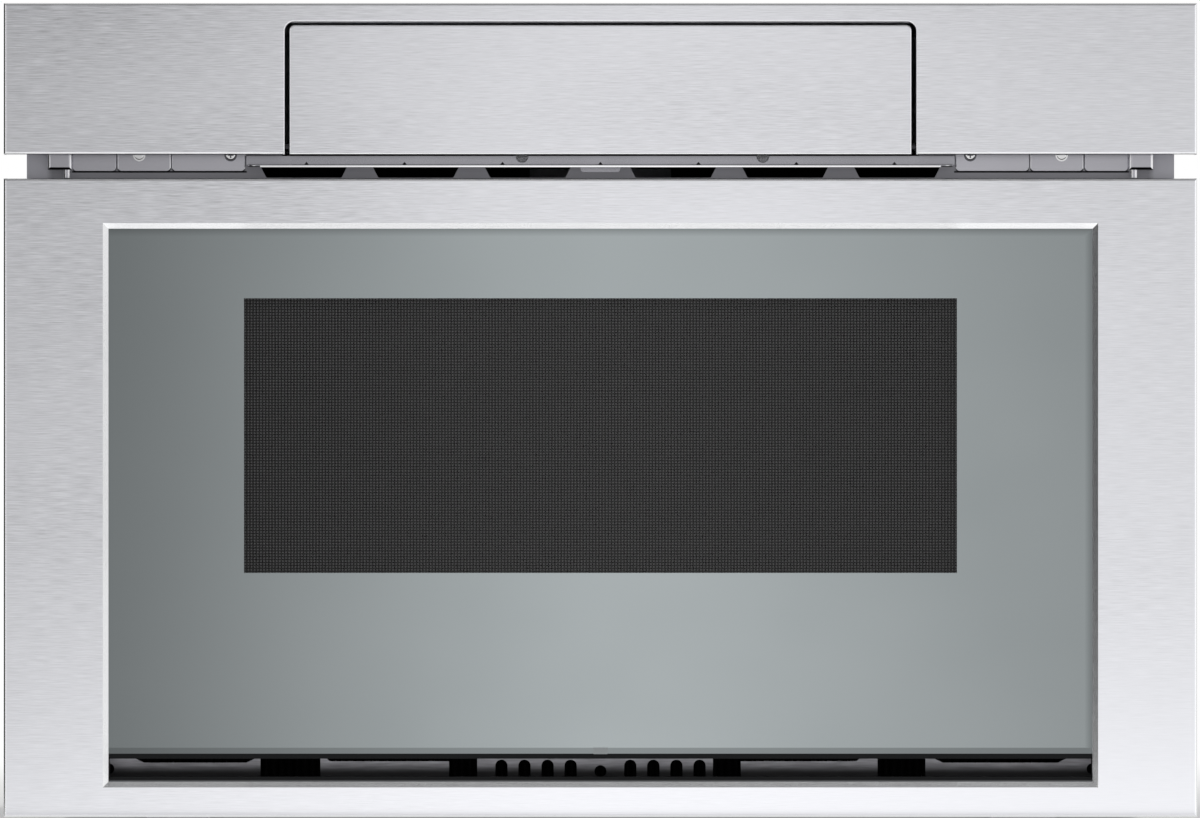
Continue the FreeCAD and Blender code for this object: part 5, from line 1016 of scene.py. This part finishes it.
def add_control_print():
    """Touch keys with digits and signs, and a clock that shows 12:00."""
    keys = bmesh.new()
    for index, text in enumerate("1234567890"):
        x = (index % 5 - 2) * KEY_PITCH + KEYS_X
        y = KEY_ROW if index < 5 else -KEY_ROW
        key_ring(keys, x, y)
        lettering(keys, text, x, y)
    for (x, y), outlines in SIGNS.items():
        key_ring(keys, x, y)
        for outline in outlines:
            flat_form(keys, [(x + u, y + v) for u, v in outline])
    lit = bmesh.new()
    for index, digit in enumerate("1200"):
        gap = COLON_GAP if index > 1 else 0.0
        lit_digit(lit, digit, DISPLAY_X + (index - 2) * DIGIT_PITCH + gap)
    for rise in (-COLON_RISE, COLON_RISE):
        flat_form(lit, [(DISPLAY_X + COLON_SHIFT + u, rise + v) for u, v in circle(COLON_R, 12)])
    place = slope_matrix()
    for form in (keys, lit):
        bmesh.ops.transform(form, matrix=place, verts=form.verts)
    ink = printed("legend_print", (0.70, 0.70, 0.72), 0.0)
    glow = printed("display_glow", (0.50, 0.78, 1.0), 0.8)
    add_piece("control_legends", keys, "console", ink)
    add_piece("display_digits", lit, "console", glow)


# ---------------------------------------------------------------- painted highlight: a bright strip along the steam deflector's lip
LIP_HIGHLIGHT_HEIGHT = 1.3 * MM
LIP_HIGHLIGHT_DROP = 0.45 * MM
LIP_HIGHLIGHT_DEPTH = 0.3 * MM
LIP_HIGHLIGHT_CORNER = 8.0 * MM
LIP_HIGHLIGHT_ROUND = 0.1 * MM
LIP_HIGHLIGHT_SINK = 0.1 * MM


def add_lip_highlight():
    low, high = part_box("steam_deflector")
    half = high.x - LIP_HIGHLIGHT_CORNER
    top = high.z - LIP_HIGHLIGHT_DROP
    foot = top - LIP_HIGHLIGHT_HEIGHT
    back = low.y + LIP_HIGHLIGHT_SINK
    face = low.y - LIP_HIGHLIGHT_DEPTH
    profile = (
        (back, foot),
        (face + LIP_HIGHLIGHT_ROUND, foot),
        (face, foot + LIP_HIGHLIGHT_ROUND),
        (face, top - LIP_HIGHLIGHT_ROUND),
        (face + LIP_HIGHLIGHT_ROUND, top),
        (back, top),
    )
    form = bmesh.new()
    loft(form, [[(x, y, z) for y, z in profile] for x in (-half, half)])
    # Painted highlight: a near-white strip standing in for light caught by the lip.
    highlight_strip = satin_steel("lip_highlight", (0.96, 0.96, 0.98), 0.10)
    add_piece("deflector_highlight", form, "chassis", highlight_strip)


add_beads()
add_lip_highlight()
add_case_screws()
add_filter()
add_gland_nut()
add_control_print()


# ---------------------------------------------------------------- studio
def add_plane(name, width, height, place, turn, material):
    """A stage plane, lying flat unless turned; turn holds degrees about X and Z."""
    mesh = bpy.data.meshes.new(name)
    corners = [(x, y, 0) for x, y in rectangle(width / 2, height / 2)]
    mesh.from_pydata(corners, [], [(0, 1, 2, 3)])
    mesh.materials.append(material)
    plane = bpy.data.objects.new(name, mesh)
    plane.location = place
    plane.rotation_euler = (math.radians(turn[0]), 0, math.radians(turn[1]))
    bpy.context.scene.collection.objects.link(plane)
    return plane


def card_material(name, level_of, fade, sharp=None):
    """Emission whose level comes from level_of(paint), fading out towards all edges but the sharp one."""
    paint = Paint(name)
    emission = paint.node("ShaderNodeEmission")
    paint.put(emission.inputs["Strength"], level_of(paint))
    generated = paint.split(paint.coordinates("Generated"))
    shares = []
    for axis in (0, 1):
        off_centre = paint.math("SUBTRACT", 0.5, generated[axis])
        if axis != sharp:
            off_centre = paint.math("ABSOLUTE", off_centre)
        shares.append(paint.span(off_centre, 0.5 - fade, 0.5, 1.0, 0.0, smooth=True))
    clear = paint.node("ShaderNodeBsdfTransparent")
    paint.surface(paint.product(*shares), clear.outputs[0], emission.outputs[0])
    return paint.material


def front_levels(paint):
    """Bright in the middle, darker to the left than to the right, brighter low down."""
    x, y, _ = paint.axes()
    left = paint.span(x, -CARD_SPREAD, 0.0, CARD_LEFT, CARD_MIDDLE, smooth=True)
    right = paint.span(x, 0.0, CARD_SPREAD, 0.0, CARD_MIDDLE - CARD_RIGHT, smooth=True)
    level = paint.math("SUBTRACT", left, right)
    far = paint.span(paint.math("ABSOLUTE", x), *CARD_FAR, 0.0, 1.0, smooth=True)
    level = paint.math("ADD", paint.product(level, paint.math("SUBTRACT", 1.0, far)), far)
    return paint.product(level, paint.span(y, -CARD_RISE, CARD_RISE, CARD_BOTTOM_LEVEL, CARD_TOP_LEVEL))


def turned_levels(axis, middle, turn, levels):
    """Levels beyond and within the turn, for a plane whose middle is that far from the front face."""

    def level_of(paint):
        from_front = paint.math("ADD", paint.axes()[axis], middle)
        return paint.span(from_front, *turn, *levels, smooth=True)

    return level_of


def add_cards():
    """Planes seen in metal and glass, never by the camera, that throw no shadow."""
    middle = -FLAG_NEAR - FLAG_DEPTH / 2
    left_middle = sum(FLAG_LEFT_REACH) / 2
    left_levels = turned_levels(0, left_middle, FLAG_LEFT_TURN, FLAG_LEFT_LEVELS)
    right_levels = turned_levels(0, middle, FLAG_RIGHT_TURN, FLAG_RIGHT_LEVELS)
    floor_levels = turned_levels(1, middle, FLOOR_CARD_TURN, FLOOR_CARD_LEVELS)
    planes = (
        add_plane(
            "front_card",
            CARD_WIDTH,
            CARD_HEIGHT,
            (0, front_y - CARD_DISTANCE, CARD_MIDDLE_Z),
            (90, 0),
            card_material("card_front", front_levels, CARD_FADE),
        ),
        add_plane(
            "left_flag",
            FLAG_LEFT_REACH[1] - FLAG_LEFT_REACH[0],
            FLAG_HEIGHT,
            (FLAG_LEFT_X, front_y + left_middle, PHOTO_CENTRE_Z),
            (90, 90),
            card_material("flag_left", left_levels, FLAG_FADE, sharp=0),
        ),
        add_plane(
            "right_flag",
            FLAG_DEPTH,
            FLAG_HEIGHT,
            (FLAG_RIGHT_X, front_y + middle, PHOTO_CENTRE_Z),
            (90, 90),
            card_material("flag_right", right_levels, FLAG_FADE, sharp=0),
        ),
        add_plane(
            "top_flag",
            FLAG_WIDTH,
            FLAG_DEPTH,
            (0, front_y + middle, FLAG_TOP_Z),
            (0, 0),
            card_material("flag_top", lambda paint: FLAG_TOP_LEVEL, FLAG_FADE, sharp=1),
        ),
        add_plane(
            "floor_card",
            FLAG_WIDTH,
            FLAG_DEPTH,
            (FLOOR_CARD_X, front_y + middle, FLOOR_CARD_Z),
            (0, 0),
            card_material("card_floor", floor_levels, FLAG_FADE, sharp=1),
        ),
    )
    for plane in planes:
        plane.visible_camera = False
        plane.visible_shadow = False
        plane.visible_diffuse = False
        plane.visible_volume_scatter = False


def floor_material():
    """Pale matt floor; metal and glass see it as a white close to the backdrop's."""
    paint = Paint("floor_paper", Roughness=0.9)
    grain = paint.noise(6 * MM, detail=3.0)
    paint.set("Base Color", paint.blend(grain, (0.84, 0.84, 0.84), (0.86, 0.86, 0.86)))
    rays = paint.node("ShaderNodeLightPath").outputs
    white = paint.node("ShaderNodeEmission")
    level = paint.span(rays["Is Camera Ray"], 0.0, 1.0, FLOOR_REFLECTED, WORLD_WHITE)
    paint.put(white.inputs["Strength"], level)
    reflected = paint.larger(rays["Is Glossy Ray"], rays["Is Transmission Ray"])
    distance = paint.node("ShaderNodeVectorMath", operation="LENGTH")
    paint.put(distance.inputs[0], paint.place)
    far = paint.span(distance.outputs["Value"], *FLOOR_FADE, 0.0, 1.0, smooth=True)
    share = paint.larger(far, paint.product(reflected, FLOOR_REFLECTED_SHARE))
    paint.surface(share, paint.shader.outputs[0], white.outputs[0])
    return paint.material


def add_world():
    """White behind the object, a softer white for the light, and a darker zenith in reflections."""
    world = bpy.data.worlds.new("studio")
    world.use_nodes = True
    sky = Nodes(world.node_tree)
    background = sky.first("BACKGROUND")
    sky.put(background.inputs["Color"], (1.0, 1.0, 1.0))
    rays = sky.node("ShaderNodeLightPath").outputs
    height = sky.split(sky.coordinates("Generated"))[2]
    mirrored = sky.span(height, 0.0, 1.0, WORLD_HORIZON, WORLD_ZENITH)
    reflected = sky.larger(rays["Is Glossy Ray"], rays["Is Transmission Ray"])
    level = sky.span(reflected, 0.0, 1.0, WORLD_DIFFUSE, mirrored)
    strength = sky.span(rays["Is Camera Ray"], 0.0, 1.0, level, WORLD_WHITE)
    sky.put(background.inputs["Strength"], strength)
    bpy.context.scene.world = world


def add_lamp(name, place, size, power):
    data = bpy.data.lights.new(name, "AREA")
    data.shape = "RECTANGLE"
    data.size, data.size_y = size
    data.energy = power
    lamp = bpy.data.objects.new(name, data)
    lamp.location = place
    lamp.rotation_mode = "QUATERNION"
    lamp.rotation_quaternion = (Vector(LAMP_AIM) - Vector(place)).to_track_quat("-Z", "Y")
    lamp.visible_glossy = False
    bpy.context.scene.collection.objects.link(lamp)


def add_camera():
    data = bpy.data.cameras.new("camera")
    data.sensor_width = SENSOR
    data.lens = SENSOR * CAMERA_DISTANCE / PHOTO_WIDTH
    data.clip_end = 3 * CAMERA_DISTANCE
    camera = bpy.data.objects.new("camera", data)
    camera.location = (PHOTO_CENTRE_X, front_y - CAMERA_DISTANCE, PHOTO_CENTRE_Z)
    camera.rotation_euler = (math.radians(90), 0, 0)
    bpy.context.scene.collection.objects.link(camera)
    bpy.context.scene.camera = camera


add_plane("floor", FLOOR_SIDE, FLOOR_SIDE, (0, 0, -FLOOR_DROP), (0, 0), floor_material())
add_cards()
add_world()
for lamp in LAMPS:
    add_lamp(*lamp)
add_camera()
bpy.context.scene.view_settings.view_transform = "Standard"

bpy.context.view_layer.update()
